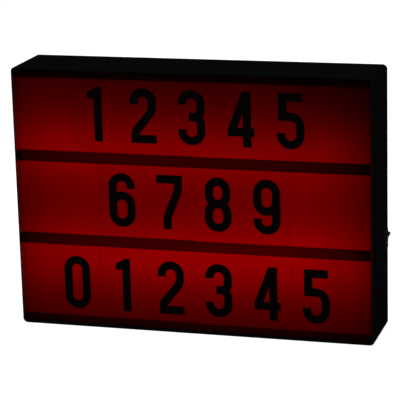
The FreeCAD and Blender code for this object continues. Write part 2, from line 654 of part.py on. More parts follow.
# Two guides with a groove each hold the control board by its short edges
BOARD_TOP = "(sizes.board_low + sizes.board_height)"
BOARD_BACK = "(%s - sizes.board_standoff)" % COVER_FRONT
BOARD_FRONT = "(%s - sizes.board_thickness)" % BOARD_BACK
GUIDE_FRONT = "(%s - sizes.guide_lip)" % BOARD_FRONT
guides = []
for x in (BOARD_LEFT, BOARD_RIGHT):
    guides.append(rectangle(x + " - sizes.guide_grip", x + " + sizes.guide_grip",
                            "sizes.board_low - sizes.guide_lip", BOARD_TOP + " - sizes.guide_drop"))
add(back_cover, "y", GUIDE_FRONT, COVER_FRONT, *guides)
cut(back_cover, "y", BOARD_FRONT + " - sizes.board_play", BOARD_BACK + " + sizes.board_play",
    rectangle(BOARD_LEFT, BOARD_RIGHT, "sizes.board_low", BOARD_TOP))

# Battery door: a plate on a full-width hinge barrel, with a pin at each end

battery_door = new_body("battery_door")
DOOR_X = "(%s - sizes.door_gap)" % BAY_HALF
DOOR_TOP = "(%s - sizes.door_gap)" % BAY_HIGH
PIN_X = "(%s - sizes.pin_end_play)" % HOLE_END
add(battery_door, "y", DOOR_FRONT, BACK, rectangle("-" + DOOR_X, DOOR_X, HINGE_HEIGHT, DOOR_TOP))
add(battery_door, "x", "-" + DOOR_X, DOOR_X, (HINGE_Y, HINGE_HEIGHT, "sizes.hinge_radius"))
add(battery_door, "x", "-" + PIN_X, PIN_X, (HINGE_Y, HINGE_HEIGHT, "sizes.hinge_pin"))
grips = []
for k in range(4):
    grip_z = "(%s - sizes.grip_drop - %d * sizes.grip_pitch)" % (DOOR_TOP, k)
    grips.append(around("0", grip_z, "sizes.grip_width / 2", "sizes.grip_groove / 2"))
cut(battery_door, "y", BACK + " - sizes.grip_depth", BACK, *grips)

# Screws

head_seat = amount(HEAD_SEAT)
head_height = amount("sizes.head_height")
head_radius = amount("sizes.head_radius")
screw_radius = amount("sizes.screw_radius")
screw_end = head_seat - amount("sizes.screw_length")
screws = []
for spot in boss_spots:
    x, z = amount(spot[0]), amount(spot[1])
    head = rod(head_radius, (x, head_seat, z), (x, head_seat + head_height, z))
    shank = rod(screw_radius, (x, screw_end, z), (x, head_seat, z))
    screws.append(head.fuse(shank).removeSplitter())
solid("cover_screws", Part.makeCompound(screws))

# Battery cells, every other one upside down, each on its spring

cell_y = amount(CELL_Y)
cell_radius = amount("sizes.cell_radius")
cell_length = amount("sizes.cell_length")
tip_radius = amount("sizes.tip_radius")
tip_height = amount("sizes.tip_height")
cell_pitch = amount(CELL_PITCH)
spring_length = amount("sizes.spring_length")
contact = amount("sizes.contact_thickness")
bay_low = amount("sizes.bay_low")
bay_high = amount(BAY_HIGH)
wire_half = amount("sizes.spring_wire / 2")
foot_radius = amount("sizes.spring_foot")
taper = foot_radius - amount("sizes.spring_tip")
TURNS = 2.5
STEPS = 16


def spring(x, foot, rise):
    """A tapering coil of square wire from its wide foot, up or down."""
    points = []
    for n in range(STEPS + 1):
        turn = 2 * math.pi * TURNS * n / STEPS
        reach = foot_radius - taper * n / STEPS
        up = wire_half + (spring_length - 2.2 * wire_half) * n / STEPS
        across = reach * math.cos(turn)
        points.append(FreeCAD.Vector(x + across, cell_y + reach * math.sin(turn), foot + rise * up))
    corners = []
    for a, b in ((1, 1), (-1, 1), (-1, -1), (1, -1), (1, 1)):
        corners.append(points[0] + FreeCAD.Vector(wire_half * a, 0, wire_half * b))
    path = Part.Wire(Part.makePolygon(points).Edges)
    section = Part.Wire(Part.makePolygon(corners).Edges)
    return path.makePipeShell([section], True, False, 1)


springs = []
for k in range(6):
    x = (k - 2.5) * cell_pitch
    floor_z = bay_low + contact
    ceiling_z = bay_high - contact
    if k % 2:
        flat, tip, seat, rise = floor_z + cell_length, floor_z, ceiling_z, -1
        shoulder = tip + tip_height
    else:
        flat, tip, seat, rise = ceiling_z - cell_length, ceiling_z, floor_z, 1
        shoulder = tip - tip_height
    can = rod(cell_radius, (x, cell_y, flat), (x, cell_y, shoulder))
    cap = rod(tip_radius, (x, cell_y, shoulder), (x, cell_y, tip))
    solid("aa_cell_%d" % (k + 1), can.fuse(cap).removeSplitter())
    springs.append(spring(x, seat, rise))
solid("contact_springs", Part.makeCompound(springs))

# Contact plates: pairs in series, and two single ones with a tab

plate_half = amount("sizes.contact_depth / 2")
single_half = amount("sizes.contact_width / 2")
pair_half = single_half + cell_pitch / 2
tab_half = amount("sizes.tab_width / 2")
tab_top = bay_high + amount("sizes.tab_length")
end_x = amount(END_CELL)


def contact_plate(middle, half, low):
    return block(middle - half, middle + half, cell_y - plate_half, cell_y + plate_half, low, low + contact)


plates = []
for k in (0, 2, 4):
    plates.append(contact_plate((k - 2) * cell_pitch, pair_half, bay_low))
for k in (1, 3):
    plates.append(contact_plate((k - 2) * cell_pitch, pair_half, bay_high - contact))
for side in (-1, 1):
    middle = side * end_x
    tab = block(middle - tab_half, middle + tab_half, cell_y - contact / 2, cell_y + contact / 2,
                bay_high, tab_top)
    plates.append(contact_plate(middle, single_half, bay_high - contact).fuse(tab).removeSplitter())
solid("contact_plates", Part.makeCompound(plates))

# Rocker switch

switch_body = new_body("switch_body")
add(switch_body, "x", "(%s - sizes.switch_depth)" % HALF_WIDTH, HALF_WIDTH,
    around(*switch_centre, SWITCH_HALF_WIDTH, SWITCH_HALF_HEIGHT))
FLANGE_FACE = "(%s + sizes.switch_flange)" % HALF_WIDTH
FLANGE_HALF_WIDTH = SWITCH_HALF_WIDTH + " + sizes.switch_wall"
FLANGE_HALF_HEIGHT = SWITCH_HALF_HEIGHT + " + sizes.flange_lip"
add(switch_body, "x", HALF_WIDTH, FLANGE_FACE, around(*switch_centre, FLANGE_HALF_WIDTH, FLANGE_HALF_HEIGHT))
flange_face = amount(FLANGE_FACE)


def flange_edge(edge):
    box = edge.BoundBox
    return abs(box.XMin - flange_face) < 0.01 and box.XLength < 0.01


fillet(switch_body, "sizes.switch_flange / 3", flange_edge)
cut(switch_body, "x", "(%s - sizes.switch_depth * 0.6)" % HALF_WIDTH, FLANGE_FACE,
    around(*switch_centre, SLOT_HALF, CAVITY_HALF))
PIVOT_X = "(%s - sizes.pivot_sink)" % HALF_WIDTH
PIVOT_END = "(sizes.rocker_width / 2 + sizes.switch_wall * 0.8)"
PIVOT_HOLE = "(%s + sizes.switch_wall * 0.15)" % PIVOT_END
cut(switch_body, "y", "%s - %s" % (SIDE_Y, PIVOT_HOLE), "%s + %s" % (SIDE_Y, PIVOT_HOLE),
    (PIVOT_X, "sizes.switch_height", "sizes.pivot_radius + sizes.pivot_play"))

# A sprung catch at each end holds the switch behind the wall
CATCH_X = "(%s - 0.1)" % INNER_X
for side in (-1, 1):
    root = "sizes.switch_height + %d * (%s)" % (side, SWITCH_HALF_HEIGHT)
    catch = [(CATCH_X + " - 2.7", root + " - %d * 0.4" % side), (CATCH_X, root + " - %d * 0.4" % side),
             (CATCH_X, root + " + %d * 0.6" % side), (CATCH_X + " - 2.7", root)]
    add(switch_body, "y", SIDE_Y + " - 1.5", SIDE_Y + " + 1.5", catch)

side_y = amount(SIDE_Y)
switch_z = amount("sizes.switch_height")
switch_back = half_width - amount("sizes.switch_depth")
blade_tip = switch_back - amount("sizes.blade_length")
blade_half = amount("sizes.blade_width / 2")
thin = amount("sizes.blade_thickness / 2")
spread = amount("sizes.blade_spread")
blades = []
for side in (-1, 1):
    blade_z = switch_z + side * spread
    blades.append(block(blade_tip, switch_back, side_y - blade_half, side_y + blade_half,
                        blade_z - thin, blade_z + thin))
solid("switch_terminals", Part.makeCompound(blades))

# Rocker: a shallow V over a sector about the pivot, tipped to its on position

reach = amount("sizes.rocker_reach")
rise = amount("sizes.rocker_rise")
sector = math.hypot(reach, rise)
tip_turn = math.degrees(math.atan2(rise, reach))
ARC_STEPS = 6
outline_points = [(sector * 0.3, -sector * 0.6), (-sector * 0.3, -sector * 0.6)]
for step in range(ARC_STEPS + 1):
    turn = math.radians(195 - (15 + tip_turn) * step / ARC_STEPS)
    outline_points.append((sector * math.cos(turn), sector * math.sin(turn)))
outline_points.append((0.0, rise - amount("sizes.rocker_dish")))
for step in range(ARC_STEPS + 1):
    turn = math.radians(tip_turn - (15 + tip_turn) * step / ARC_STEPS)
    outline_points.append((sector * math.cos(turn), sector * math.sin(turn)))

# Each point is (up, out) from the pivot, before the rocker is tipped
rocker_corners = []
for up, out in outline_points:
    out_now = "(%.4f) * sin(sizes.rocker_turn) + (%.4f) * cos(sizes.rocker_turn)" % (up, out)
    up_now = "(%.4f) * cos(sizes.rocker_turn) - (%.4f) * sin(sizes.rocker_turn)" % (up, out)
    rocker_corners.append(("%s + %s" % (PIVOT_X, out_now), "sizes.switch_height + " + up_now))
rocker_button = new_body("rocker_button")
add(rocker_button, "y", SIDE_Y + " - sizes.rocker_width / 2", SIDE_Y + " + sizes.rocker_width / 2",
    rocker_corners)
add(rocker_button, "y", "%s - %s" % (SIDE_Y, PIVOT_END), "%s + %s" % (SIDE_Y, PIVOT_END),
    (PIVOT_X, "sizes.switch_height", "sizes.pivot_radius"))

# Power jack: a sleeve glued in the right wall, its collar inside, and its centre pin

dc_jack = new_body("dc_jack")
JACK_BACK = "(%s - sizes.jack_length)" % HALF_WIDTH
JACK_FLOOR = "(%s - sizes.jack_bore_depth)" % HALF_WIDTH
COLLAR_HALF = "(sizes.jack_radius + sizes.jack_collar)"
add(dc_jack, "x", JACK_BACK, HALF_WIDTH, jack_centre + ("sizes.jack_radius",))
add(dc_jack, "x", INNER_X + " - sizes.jack_collar", INNER_X, around(*jack_centre, COLLAR_HALF, COLLAR_HALF))
cut(dc_jack, "x", JACK_FLOOR, HALF_WIDTH, jack_centre + ("sizes.jack_bore",))
jack_z = amount(JACK_Z)
jack_back = amount(JACK_BACK)
jack_tip = jack_back - amount("sizes.jack_tab_length")
jack_spread = amount("sizes.jack_tab_spread")
pin = rod(amount("sizes.jack_pin"), (amount(JACK_FLOOR), side_y, jack_z), (half_width - 1, side_y, jack_z))
tabs = []
for up in (0, jack_spread):
    tab_z = jack_z + up
    tabs.append(block(jack_tip, jack_back, side_y - 1.2, side_y + 1.2, tab_z - thin, tab_z + thin))
solid("jack_contacts", Part.makeCompound([pin] + tabs))

# Control board and its components

control_board = new_body("control_board")
add(control_board, "y", BOARD_FRONT, BOARD_BACK,
    rectangle(BOARD_LEFT, BOARD_RIGHT, "sizes.board_low", BOARD_TOP))

board_front = amount(BOARD_FRONT)
board_left = amount(BOARD_LEFT)
board_low = amount("sizes.board_low")
board_length = amount("sizes.board_length")
board_middle = board_length / 2


def on_board(x, z, wide, tall, high):
    """A block on the board's front, with its corner at a place on the board."""
    left = board_left + x
    low = board_low + z
    return block(left, left + wide, board_front - high, board_front, low, low + tall)


chip_long = amount("sizes.chip_length")
chip_low = amount("sizes.chip_rise")
chip_x = board_middle - 0.75 * chip_long
leg_long = amount("sizes.leg_length")
leg_wide = amount("sizes.leg_width")
leg_thick = amount("sizes.leg_thickness")
chip = on_board(chip_x, chip_low, chip_long, amount("sizes.chip_height"), amount("sizes.chip_thickness"))
for k in range(4):
    leg_z = chip_low + leg_wide + k * amount("sizes.leg_pitch")
    chip = chip.fuse(on_board(chip_x - leg_long, leg_z, leg_long, leg_wide, leg_thick))
    chip = chip.fuse(on_board(chip_x + chip_long, leg_z, leg_long, leg_wide, leg_thick))
solid("driver_chip", chip.removeSplitter())

# A coil beside the chip and a capacitor can above it
coil_side = amount("sizes.coil_side")
coil_thick = amount("sizes.coil_thickness")
coil = on_board(board_middle + coil_side - 1, chip_low - 1, coil_side, coil_side, coil_thick)
can_x = board_left + amount("sizes.can_inset")
can_z = board_low + amount("sizes.can_rise")
can_top = board_front - amount("sizes.can_height")
can = rod(amount("sizes.can_radius"), (can_x, can_top, can_z), (can_x, board_front, can_z))
solid("board_parts", Part.makeCompound([coil, can]))

# Wire sockets: two at the right edge, one at the left and one near the top, each by its lower left corner
socket_wide = amount("sizes.socket_width")
socket_tall = amount("sizes.socket_height")
socket_deep = amount("sizes.socket_depth")
inset = amount("sizes.socket_inset")
right_x = board_length - socket_wide - inset
upper_row = amount("sizes.board_height") - 2 * socket_tall
SOCKETS = {"switch": (right_x, upper_row - 5), "jack": (right_x, 4 * inset), "battery": (2 * inset, 6 * inset),
           "leds": (board_middle + 3.5, upper_row)}
sockets = []
for x, z in SOCKETS.values():
    sockets.append(on_board(x, z, socket_wide, socket_tall, socket_deep))
solid("board_terminals", Part.makeCompound(sockets))

# Inner leads: six-sided, with a mitre at each bend

lead_radius = amount("sizes.lead_radius")
point = FreeCAD.Vector


def lead(*points):
    along = (points[1] - points[0]).normalize()
    side = along.cross(point(0.3, 0.5, 0.81)).normalize()
    other = along.cross(side)
    ring = []
    for k in range(7):
        turn = math.pi * k / 3
        ring.append(points[0] + side * lead_radius * math.cos(turn) + other * lead_radius * math.sin(turn))
    path = Part.Wire(Part.makePolygon(points).Edges)
    section = Part.Wire(Part.makePolygon(ring).Edges)
    return path.makePipeShell([section], True, False, 1)


def socket_mouth(name, across, up):
    """The outer end of a wire socket, at a height above its lower edge."""
    x, z = SOCKETS[name]
    return point(board_left + x + across, board_front - socket_deep / 2, board_low + z + up)


tab_face = cell_y + contact / 2 + lead_radius
left_tab = point(-end_x, tab_face, tab_top - 1)
right_tab = point(end_x, tab_face, tab_top - 1)
upper_blade = point(blade_tip, side_y + 0.2, switch_z + spread)
lower_blade = point(blade_tip, side_y + 0.2, switch_z - spread)

solid("wire_battery_switch", lead(
    right_tab, right_tab + point(0, 0.4, 9), right_tab + point(22.5, 0.4, 13),
    upper_blade + point(-13.5, 0.3, 15.5), upper_blade + point(-4.5, 0, 5.5), upper_blade + point(-2.5, 0, 0),
    upper_blade))
mouth = socket_mouth("switch", socket_wide, 2)
solid("wire_switch_board", lead(
    lower_blade, lower_blade + point(-2.5, 0, 0), mouth + point(10, 0, 2), mouth + point(2, 0, 0), mouth))
mouth = socket_mouth("battery", 0, 2)
solid("wire_battery_board", lead(
    left_tab, left_tab + point(0, 2.4, 17), mouth + point(-14, 3.3, 46), mouth + point(-7, 3.3, 38),
    mouth + point(-7, 0, 2), mouth + point(-2, 0, 0), mouth))

jack_leads = []
for up, height_above, bend in ((-thin - lead_radius, 1.2, -1.5), (jack_spread + thin + lead_radius, 3.4, -1)):
    mouth = socket_mouth("jack", socket_wide, height_above)
    mouth.y = side_y
    jack_tab = point(jack_tip, side_y, jack_z + up)
    jack_leads.append(lead(jack_tab, jack_tab + point(-12, 0, bend), mouth + point(2, 0, 0), mouth))
solid("wire_jack_board", Part.makeCompound(jack_leads))

# The two LED leads leave their socket forwards, pass the hole in the LED plate and part to the strips
hole = point(amount(HOLE_X), 0, amount(HOLE_Z))
behind = amount(PLATE_BACK)
before = amount(PLATE_FRONT)
strip_y = strip_front - lead_radius
strip_x = strip_half - 1.2
low_z, high_z = strip_heights
led_leads = []
for across, aside, up, end in ((1.5, -0.8, 0.5, point(strip_x, strip_y, high_z - 1)),
                               (4.5, 0.8, -1, point(strip_x, strip_y, low_z + 1.3))):
    way = 1 if up > 0 else -1
    mouth = socket_mouth("leds", across, 2)
    mouth.y = board_front - socket_deep
    led_leads.append(lead(
        mouth, mouth + point(0, -2.2, 0), hole + point(-6 + 2.5 * aside, behind + 3.8, -11 + 2.5 * way),
        hole + point(aside, behind + 1.3, up), hole + point(aside, before - 3, up),
        hole + point(6.5, before - 3.2, 9 * way), end + point(-0.8, -1.8, -4.5 * way), end))
solid("wire_leds", Part.makeCompound(led_leads))

doc.recompute()
failed = []
for item in doc.Objects:
    if "Invalid" in item.State or "Error" in item.State:
        failed.append(item.Label)
for name, item in parts.items():
    if item.Shape.isNull() or not item.Shape.isValid():
        failed.append(name)
if failed:
    raise SystemExit("not built: " + ", ".join(failed))

os.makedirs("parts", exist_ok=True)
for name, item in parts.items():
    item.Shape.exportStep("parts/%s.step" % name)
    box = item.Shape.BoundBox
    print("%-22s %2d solids  x %.1f..%.1f  y %.1f..%.1f  z %.1f..%.1f" % (
        name, len(item.Shape.Solids), box.XMin, box.XMax, box.YMin, box.YMax, box.ZMin, box.ZMax))
print(len(parts), "sub-parts")
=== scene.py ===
# %% [markdown]
# # A cinema light box, dressed for a render
#
# The object is a shallow black box with a lit red front. Three rows of clear letter tiles stand in
# grooved rails on that front. The CAD model brings every solid piece at its true size, so this
# script only adds what CAD leaves out: finishes, printed digits and marks, threads and drive
# recesses, battery sleeves, wound springs, rounded leads, light and camera. Each step says what the
# real thing is, how it could be made, and why one way was chosen.

# %% Load the frame
import math

import bmesh
import bpy
from mathutils import Matrix, Vector


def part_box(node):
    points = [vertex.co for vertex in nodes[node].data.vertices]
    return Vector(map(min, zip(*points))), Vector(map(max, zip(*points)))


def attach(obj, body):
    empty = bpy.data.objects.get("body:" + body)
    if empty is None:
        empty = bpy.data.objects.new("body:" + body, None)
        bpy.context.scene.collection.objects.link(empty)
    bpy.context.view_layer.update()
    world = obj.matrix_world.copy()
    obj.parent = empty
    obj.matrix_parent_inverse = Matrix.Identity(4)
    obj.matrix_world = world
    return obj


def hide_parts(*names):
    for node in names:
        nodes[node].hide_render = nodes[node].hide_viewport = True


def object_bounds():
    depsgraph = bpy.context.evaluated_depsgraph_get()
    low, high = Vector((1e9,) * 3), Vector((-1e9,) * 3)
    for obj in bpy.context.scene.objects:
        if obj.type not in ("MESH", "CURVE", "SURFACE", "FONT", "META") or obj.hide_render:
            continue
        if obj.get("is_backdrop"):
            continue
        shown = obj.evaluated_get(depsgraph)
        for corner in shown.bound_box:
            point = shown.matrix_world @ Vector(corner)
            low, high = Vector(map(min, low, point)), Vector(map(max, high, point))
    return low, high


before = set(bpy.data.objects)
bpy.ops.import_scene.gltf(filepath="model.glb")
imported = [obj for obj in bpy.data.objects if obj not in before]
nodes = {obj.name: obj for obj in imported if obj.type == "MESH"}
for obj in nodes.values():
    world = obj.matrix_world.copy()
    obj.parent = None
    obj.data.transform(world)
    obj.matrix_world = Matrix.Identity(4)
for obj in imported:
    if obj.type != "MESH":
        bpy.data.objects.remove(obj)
cad_low, cad_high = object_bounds()
print("CAD pieces:", len(nodes), "box in mm:", [round(1000 * v, 1) for v in cad_high - cad_low])

# %% [markdown]
# ## Units, colours and one node helper
#
# CAD sizes are millimetres, Blender's are metres, so one factor does all conversions. Colours are
# written as sRGB hex, the way a paint chart gives them, and turned to linear light once. Shader
# trees and geometry trees grow from the same little helper: it adds a node, sets its options, and
# sets or links its inputs. A node given as an input stands for its first output that is in use.
#
# Most finishes need the same two things: a noise of the grain's own size that raises a bump, and
# another noise, often broader, that varies the sheen.

# %% Units, colour, nodes and finishes
MM = 0.001
MATH, RANGE, NOISE = "ShaderNodeMath", "ShaderNodeMapRange", "ShaderNodeTexNoise"
SPLIT, COMBINE = "ShaderNodeSeparateXYZ", "ShaderNodeCombineXYZ"
NOISE_SPAN = {"From Min": 0.3, "From Max": 0.7}  # noise seldom leaves these values


def linear(code):
    """A hex colour such as 8a0f0a as linear red, green, blue and alpha."""
    values = []
    for start in (0, 2, 4):
        level = int(code[start:start + 2], 16) / 255
        values.append(level / 12.92 if level <= 0.04045 else ((level + 0.055) / 1.055) ** 2.4)
    return (*values, 1.0)


def fill(tree, node, inputs):
    """Sets or links a node's inputs, given by name or in their own order."""
    for name, value in inputs.items() if isinstance(inputs, dict) else enumerate(inputs):
        if isinstance(value, bpy.types.Node):
            value = next(output for output in value.outputs if output.enabled)
        if isinstance(value, bpy.types.NodeSocket):
            tree.links.new(value, node.inputs[name])
        else:
            node.inputs[name].default_value = value


def add(tree, kind, inputs, **settings):
    """Adds one node with its settings and its inputs."""
    node = tree.nodes.new(kind)
    for name, value in settings.items():
        setattr(node, name, value)
    fill(tree, node, inputs)
    return node


def finish(name, bump=None, sheen=None, stretch=None, **inputs):
    """A new Principled material, whose plain inputs are set on its own sockets.

    A bump is (size in mm, detail, strength, height in mm) and a sheen is (size in mm, detail,
    lowest roughness, highest roughness). A stretch draws both noises out along an axis.
    """
    material = bpy.data.materials.new(name)
    material.use_nodes = True
    tree = material.node_tree
    tree.nodes.clear()
    shader = add(tree, "ShaderNodeBsdfPrincipled", {})
    for words, value in inputs.items():
        shader.inputs[words.replace("_", " ").title().replace("Ior", "IOR")].default_value = value
    add(tree, "ShaderNodeOutputMaterial", {"Surface": shader})
    place = add(tree, "ShaderNodeTexCoord", {}).outputs["Object"]
    start = place
    if stretch:
        start = add(tree, "ShaderNodeMapping", {"Vector": place, "Scale": stretch})
    if bump:
        size, detail, strength, height = bump
        fine = add(tree, NOISE, {"Vector": start, "Scale": 1 / (size * MM), "Detail": detail})
        fill(tree, shader, {"Normal": add(tree, "ShaderNodeBump", {
            "Height": fine, "Strength": strength, "Distance": height * MM})})
    if sheen:
        size, detail, low, high = sheen
        broad = add(tree, NOISE, {"Vector": start, "Scale": 1 / (size * MM), "Detail": detail})
        fill(tree, shader, {"Roughness": add(tree, RANGE, {
            "Value": broad, **NOISE_SPAN, "To Min": low, "To Max": high})})
    return material, tree, shader, place


def dress(material, *names):
    """Gives CAD nodes a finish without touching their meshes."""
    for name in names:
        piece = nodes[name]
        if not piece.material_slots:
            piece.data.materials.append(material)
        for slot in piece.material_slots:
            slot.material = material
    print(material.name, "on", len(names), "CAD pieces")


# %% [markdown]
# ## Black ABS: the housing, the cover and the door
#
# The housing is injection-moulded ABS from a spark-eroded mould, which leaves a fine, even grain
# that kills reflections. An image of grain could show it, but noise repeats nowhere and works on
# every side. The broad noise varies the sheen a little, as handling does. The real grain is about
# 0.3 mm wide; it is drawn at 0.9 mm, because a finer one would vanish in the render. The ring is
# dead matt, so a lit front stands out from it. The cover comes from a smoother mould, a little
# satin.

# %% Moulded ABS
HANDLING = 35


def moulded_plastic(name, code, low_sheen, high_sheen, specular, grain=0.9, depth=0.05):
    """Moulded plastic with a grain bump and an uneven sheen, sizes in mm."""
    return finish(name, (grain, 3.0, 0.35, depth), (HANDLING, 4.0, low_sheen, high_sheen),
                  base_color=linear(code), specular_ior_level=specular)[0]


matt_black = moulded_plastic("moulded_abs_matt_black", "070708", 0.7, 0.85, 0.0)
satin_black = moulded_plastic("moulded_abs_satin_black", "121213", 0.4, 0.52, 0.12)
dress(matt_black, "frame")
dress(satin_black, "back_cover", "battery_door")

# %% [markdown]
# ## The light behind the panel
#
# Two LED strips run across behind the front, and the opal panel shows them as two soft bands. Real
# lamps inside the box would do this too, but light that leaks through a scattering sheet is slow
# and noisy to trace. The panel glows by a formula instead, the one for a short tube behind a sheet.
# Above and below the tube the light fades as (1 + (distance / spread)^2)^-1.5. Towards its ends it
# fades by half the sum of two cosines, one for the slant to each end. A band can rise to the right
# and lean, that is, be brighter on one side. The corners stay dim by themselves, the upper right
# one a little more, because the strip ends short of it.

# %% Light bands
HALF_WIDTH = 150  # rise and lean are what a band gains from the middle to here, in mm
TUBE_HALF = 138
FALL = -1.5
BANDS = [
    {"height": 64.9, "rise": 3.9, "middle": -7.0, "spread": 39.3, "power": 0.296, "lean": 0.134},
    {"height": 147.8, "rise": -1.1, "middle": -10.1, "spread": 35.4, "power": 0.209,
     "lean": -0.088},
]
DARK = 0.001
CORNER = {"from": (40 * MM, 165 * MM), "to": (150 * MM, 212 * MM), "loss": 0.65}


def glow(tree, place):
    """Adds both bands to a material's tree and returns the light level at each point."""
    spot = add(tree, SPLIT, [place])
    across, up = spot.outputs["X"], spot.outputs["Z"]
    total = -DARK
    for band in BANDS:
        spread = band["spread"] * MM
        slope = band["rise"] / HALF_WIDTH
        line = add(tree, MATH, [across, slope, band["height"] * MM], operation="MULTIPLY_ADD")
        above = add(tree, MATH, [up, line], operation="SUBTRACT")
        ratio = add(tree, MATH, [above, spread], operation="DIVIDE")
        square = add(tree, MATH, [ratio, ratio, 1.0], operation="MULTIPLY_ADD")
        fade = add(tree, MATH, [square, FALL], operation="POWER")
        cosines = []
        for side in (-1, 1):
            offset = (TUBE_HALF - side * band["middle"]) * MM
            to_end = add(tree, MATH, [across, side, offset], operation="MULTIPLY_ADD")
            slant = add(tree, COMBINE, {"X": to_end, "Y": spread})
            unit = add(tree, "ShaderNodeVectorMath", [slant], operation="NORMALIZE")
            cosines.append(add(tree, SPLIT, [unit]).outputs["X"])
        both = add(tree, MATH, [cosines[0], cosines[1]], operation="ADD")
        gain = band["lean"] / (HALF_WIDTH * MM)
        lean = add(tree, MATH, [across, gain, 1.0], operation="MULTIPLY_ADD")
        power = add(tree, MATH, [lean, band["power"] / 2], operation="MULTIPLY")
        reach = add(tree, MATH, [both, power], operation="MULTIPLY")
        total = add(tree, MATH, [fade, reach, total], operation="MULTIPLY_ADD")
    nearness = [
        add(tree, RANGE, {"Value": output, "From Min": start, "From Max": end},
            interpolation_type="SMOOTHSTEP")
        for output, start, end in zip((across, up), CORNER["from"], CORNER["to"])]
    corner = add(tree, MATH, [nearness[0], nearness[1]], operation="MULTIPLY")
    kept = add(tree, MATH, [corner, -CORNER["loss"], 1.0], operation="MULTIPLY_ADD")
    return add(tree, MATH, [total, kept], operation="MULTIPLY")


def shine(tree, shader, level, factors):
    """Dims a light level by each factor in turn and lets the material give it off in red."""
    for factor in factors:
        level = add(tree, MATH, [level, factor], operation="MULTIPLY", use_clamp=True)
    fill(tree, shader, {"Emission Color": linear("ff0000"), "Emission Strength": level})


print("light bands at heights of", [band["height"] for band in BANDS], "mm")

# %% [markdown]
# ## How near a point is to the rim
#
# The glow ends softly at the rim of the housing. A ledge behind the panel's border keeps direct
# light off its last few millimetres, and the rim in front of it catches a little glow on its inner
# side. Both need to know how far outside the opening a point lies, on which side, and whether it is
# at the height of a rail. The distances are in millimetres, and negative on the panel.

# %% Distance from the opening
WALL = 2.0 * MM
RAILS = ("rail_top", "rail_upper", "rail_lower", "rail_bottom")
SHADE_INSIDE, SHADE_OUTSIDE = 0.4, 0.6
frame_low, frame_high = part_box("frame")


def beyond(tree, output, low, high):
    """How far a coordinate lies outside a span, in mm, and less than nought inside it."""
    away = add(tree, MATH, [output, (low + high) / 2], operation="SUBTRACT")
    size = add(tree, MATH, [away], operation="ABSOLUTE")
    return add(tree, MATH, [size, 1 / MM, (low - high) / 2 / MM], operation="MULTIPLY_ADD")


def outside_opening(tree, place):
    """How far outside the opening a point is, sideways and upwards, and 1 on the right."""
    spot = add(tree, SPLIT, [place])
    sideways, upwards = [
        beyond(tree, spot.outputs[axis.upper()], getattr(frame_low, axis) + WALL,
               getattr(frame_high, axis) - WALL) for axis in "xz"]
    right = add(tree, MATH, [spot.outputs["X"], 0.0], operation="GREATER_THAN")
    return sideways, upwards, right


def clear_of_rails(tree, place, right, least):
    """One on the right and between the rails, and on the left at a rail's height the least."""
    up = add(tree, SPLIT, [place]).outputs["Z"]
    share = 1.0
    for name in RAILS:
        rail_low, rail_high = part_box(name)
        outside = beyond(tree, up, rail_low.z, rail_high.z)
        clear = add(tree, RANGE, {
            "Value": outside, "From Min": -SHADE_INSIDE, "From Max": SHADE_OUTSIDE})
        share = add(tree, MATH, [clear, share], operation="MULTIPLY")
    kept = add(tree, MATH, [right, least], operation="MAXIMUM")
    return add(tree, MATH, [share, kept], operation="MAXIMUM")


print("opening:", [round((v - 2 * WALL) / MM, 1) for v in (frame_high - frame_low).xz], "mm")

# %% [markdown]
# ## Opal red sheet, and the rails glued on it
#
# The panel is extruded opal polystyrene, red right through. Its scattering pigment is never quite
# even, so a slow, faint noise mottles the glow. Its satin face is kept free of reflections, as on a
# lit sign in a dim room. The rails are the same red plastic without the pigment. Their light has
# passed the sheet and then the rail, so it fades as the square of the glow. The bottom rail has the
# thinnest lip and lets more through. The ledge is wider on the right, so the light ends sooner
# there: each finish says over how many millimetres it fades at the left and the right end, and to
# what share. The rails end close to the left wall and shade the sheet in that narrow gap.

# %% Opal panel and rails
MOTTLE = 22 * MM
MOTTLED = 0.03
EDGE_FADE = 3.0


def lit_plastic(name, code, share, power, roughness, left_end, right_end, edge, gap=1.0):
    """Red plastic that passes a share of the light, less near its ends, edges and left gaps."""
    material, tree, shader, place = finish(
        name, base_color=linear(code), roughness=roughness, specular_ior_level=0.0)
    cloud = add(tree, NOISE, {"Vector": place, "Scale": 1 / MOTTLE, "Detail": 3.0})
    uneven = add(tree, RANGE, {
        "Value": cloud, **NOISE_SPAN, "To Min": (1 - MOTTLED) * share,
        "To Max": (1 + MOTTLED) * share})
    sideways, upwards, right = outside_opening(tree, place)
    start, least = [
        add(tree, MATH, [right, to_right - to_left, to_left], operation="MULTIPLY_ADD")
        for to_left, to_right in ((-left_end[0], -right_end[0]), (left_end[1], right_end[1]))]
    ends, edges = [
        add(tree, RANGE, {"Value": outside, "From Min": fade, "From Max": 0.0, "To Min": 1.0,
                          "To Max": dimmest}, interpolation_type="SMOOTHSTEP")
        for outside, fade, dimmest in ((sideways, start, least), (upwards, -EDGE_FADE, edge))]
    level = add(tree, MATH, [glow(tree, place), power], operation="POWER")
    shine(tree, shader, level, (uneven, ends, edges, clear_of_rails(tree, place, right, gap)))
    return material


opal_red = lit_plastic(
    "opal_polystyrene_red", "160000", share=1.0, power=1.0, roughness=0.6, left_end=(3.0, 0.7),
    right_end=(4.0, 0.1), edge=0.4, gap=0.35)
rail_red = lit_plastic(
    "extruded_polystyrene_dark_red", "0a0000", share=0.5, power=2.0, roughness=0.5,
    left_end=(6.0, 0.4), right_end=(14.0, 0.1), edge=0.2)
thin_rail_red = lit_plastic(
    "extruded_polystyrene_thin_red", "0a0000", share=3.2, power=2.0, roughness=0.5,
    left_end=(6.0, 0.4), right_end=(14.0, 0.3), edge=0.6)
dress(opal_red, "diffuser_panel")
dress(rail_red, "rail_top", "rail_upper", "rail_lower")
dress(thin_rail_red, "rail_bottom")

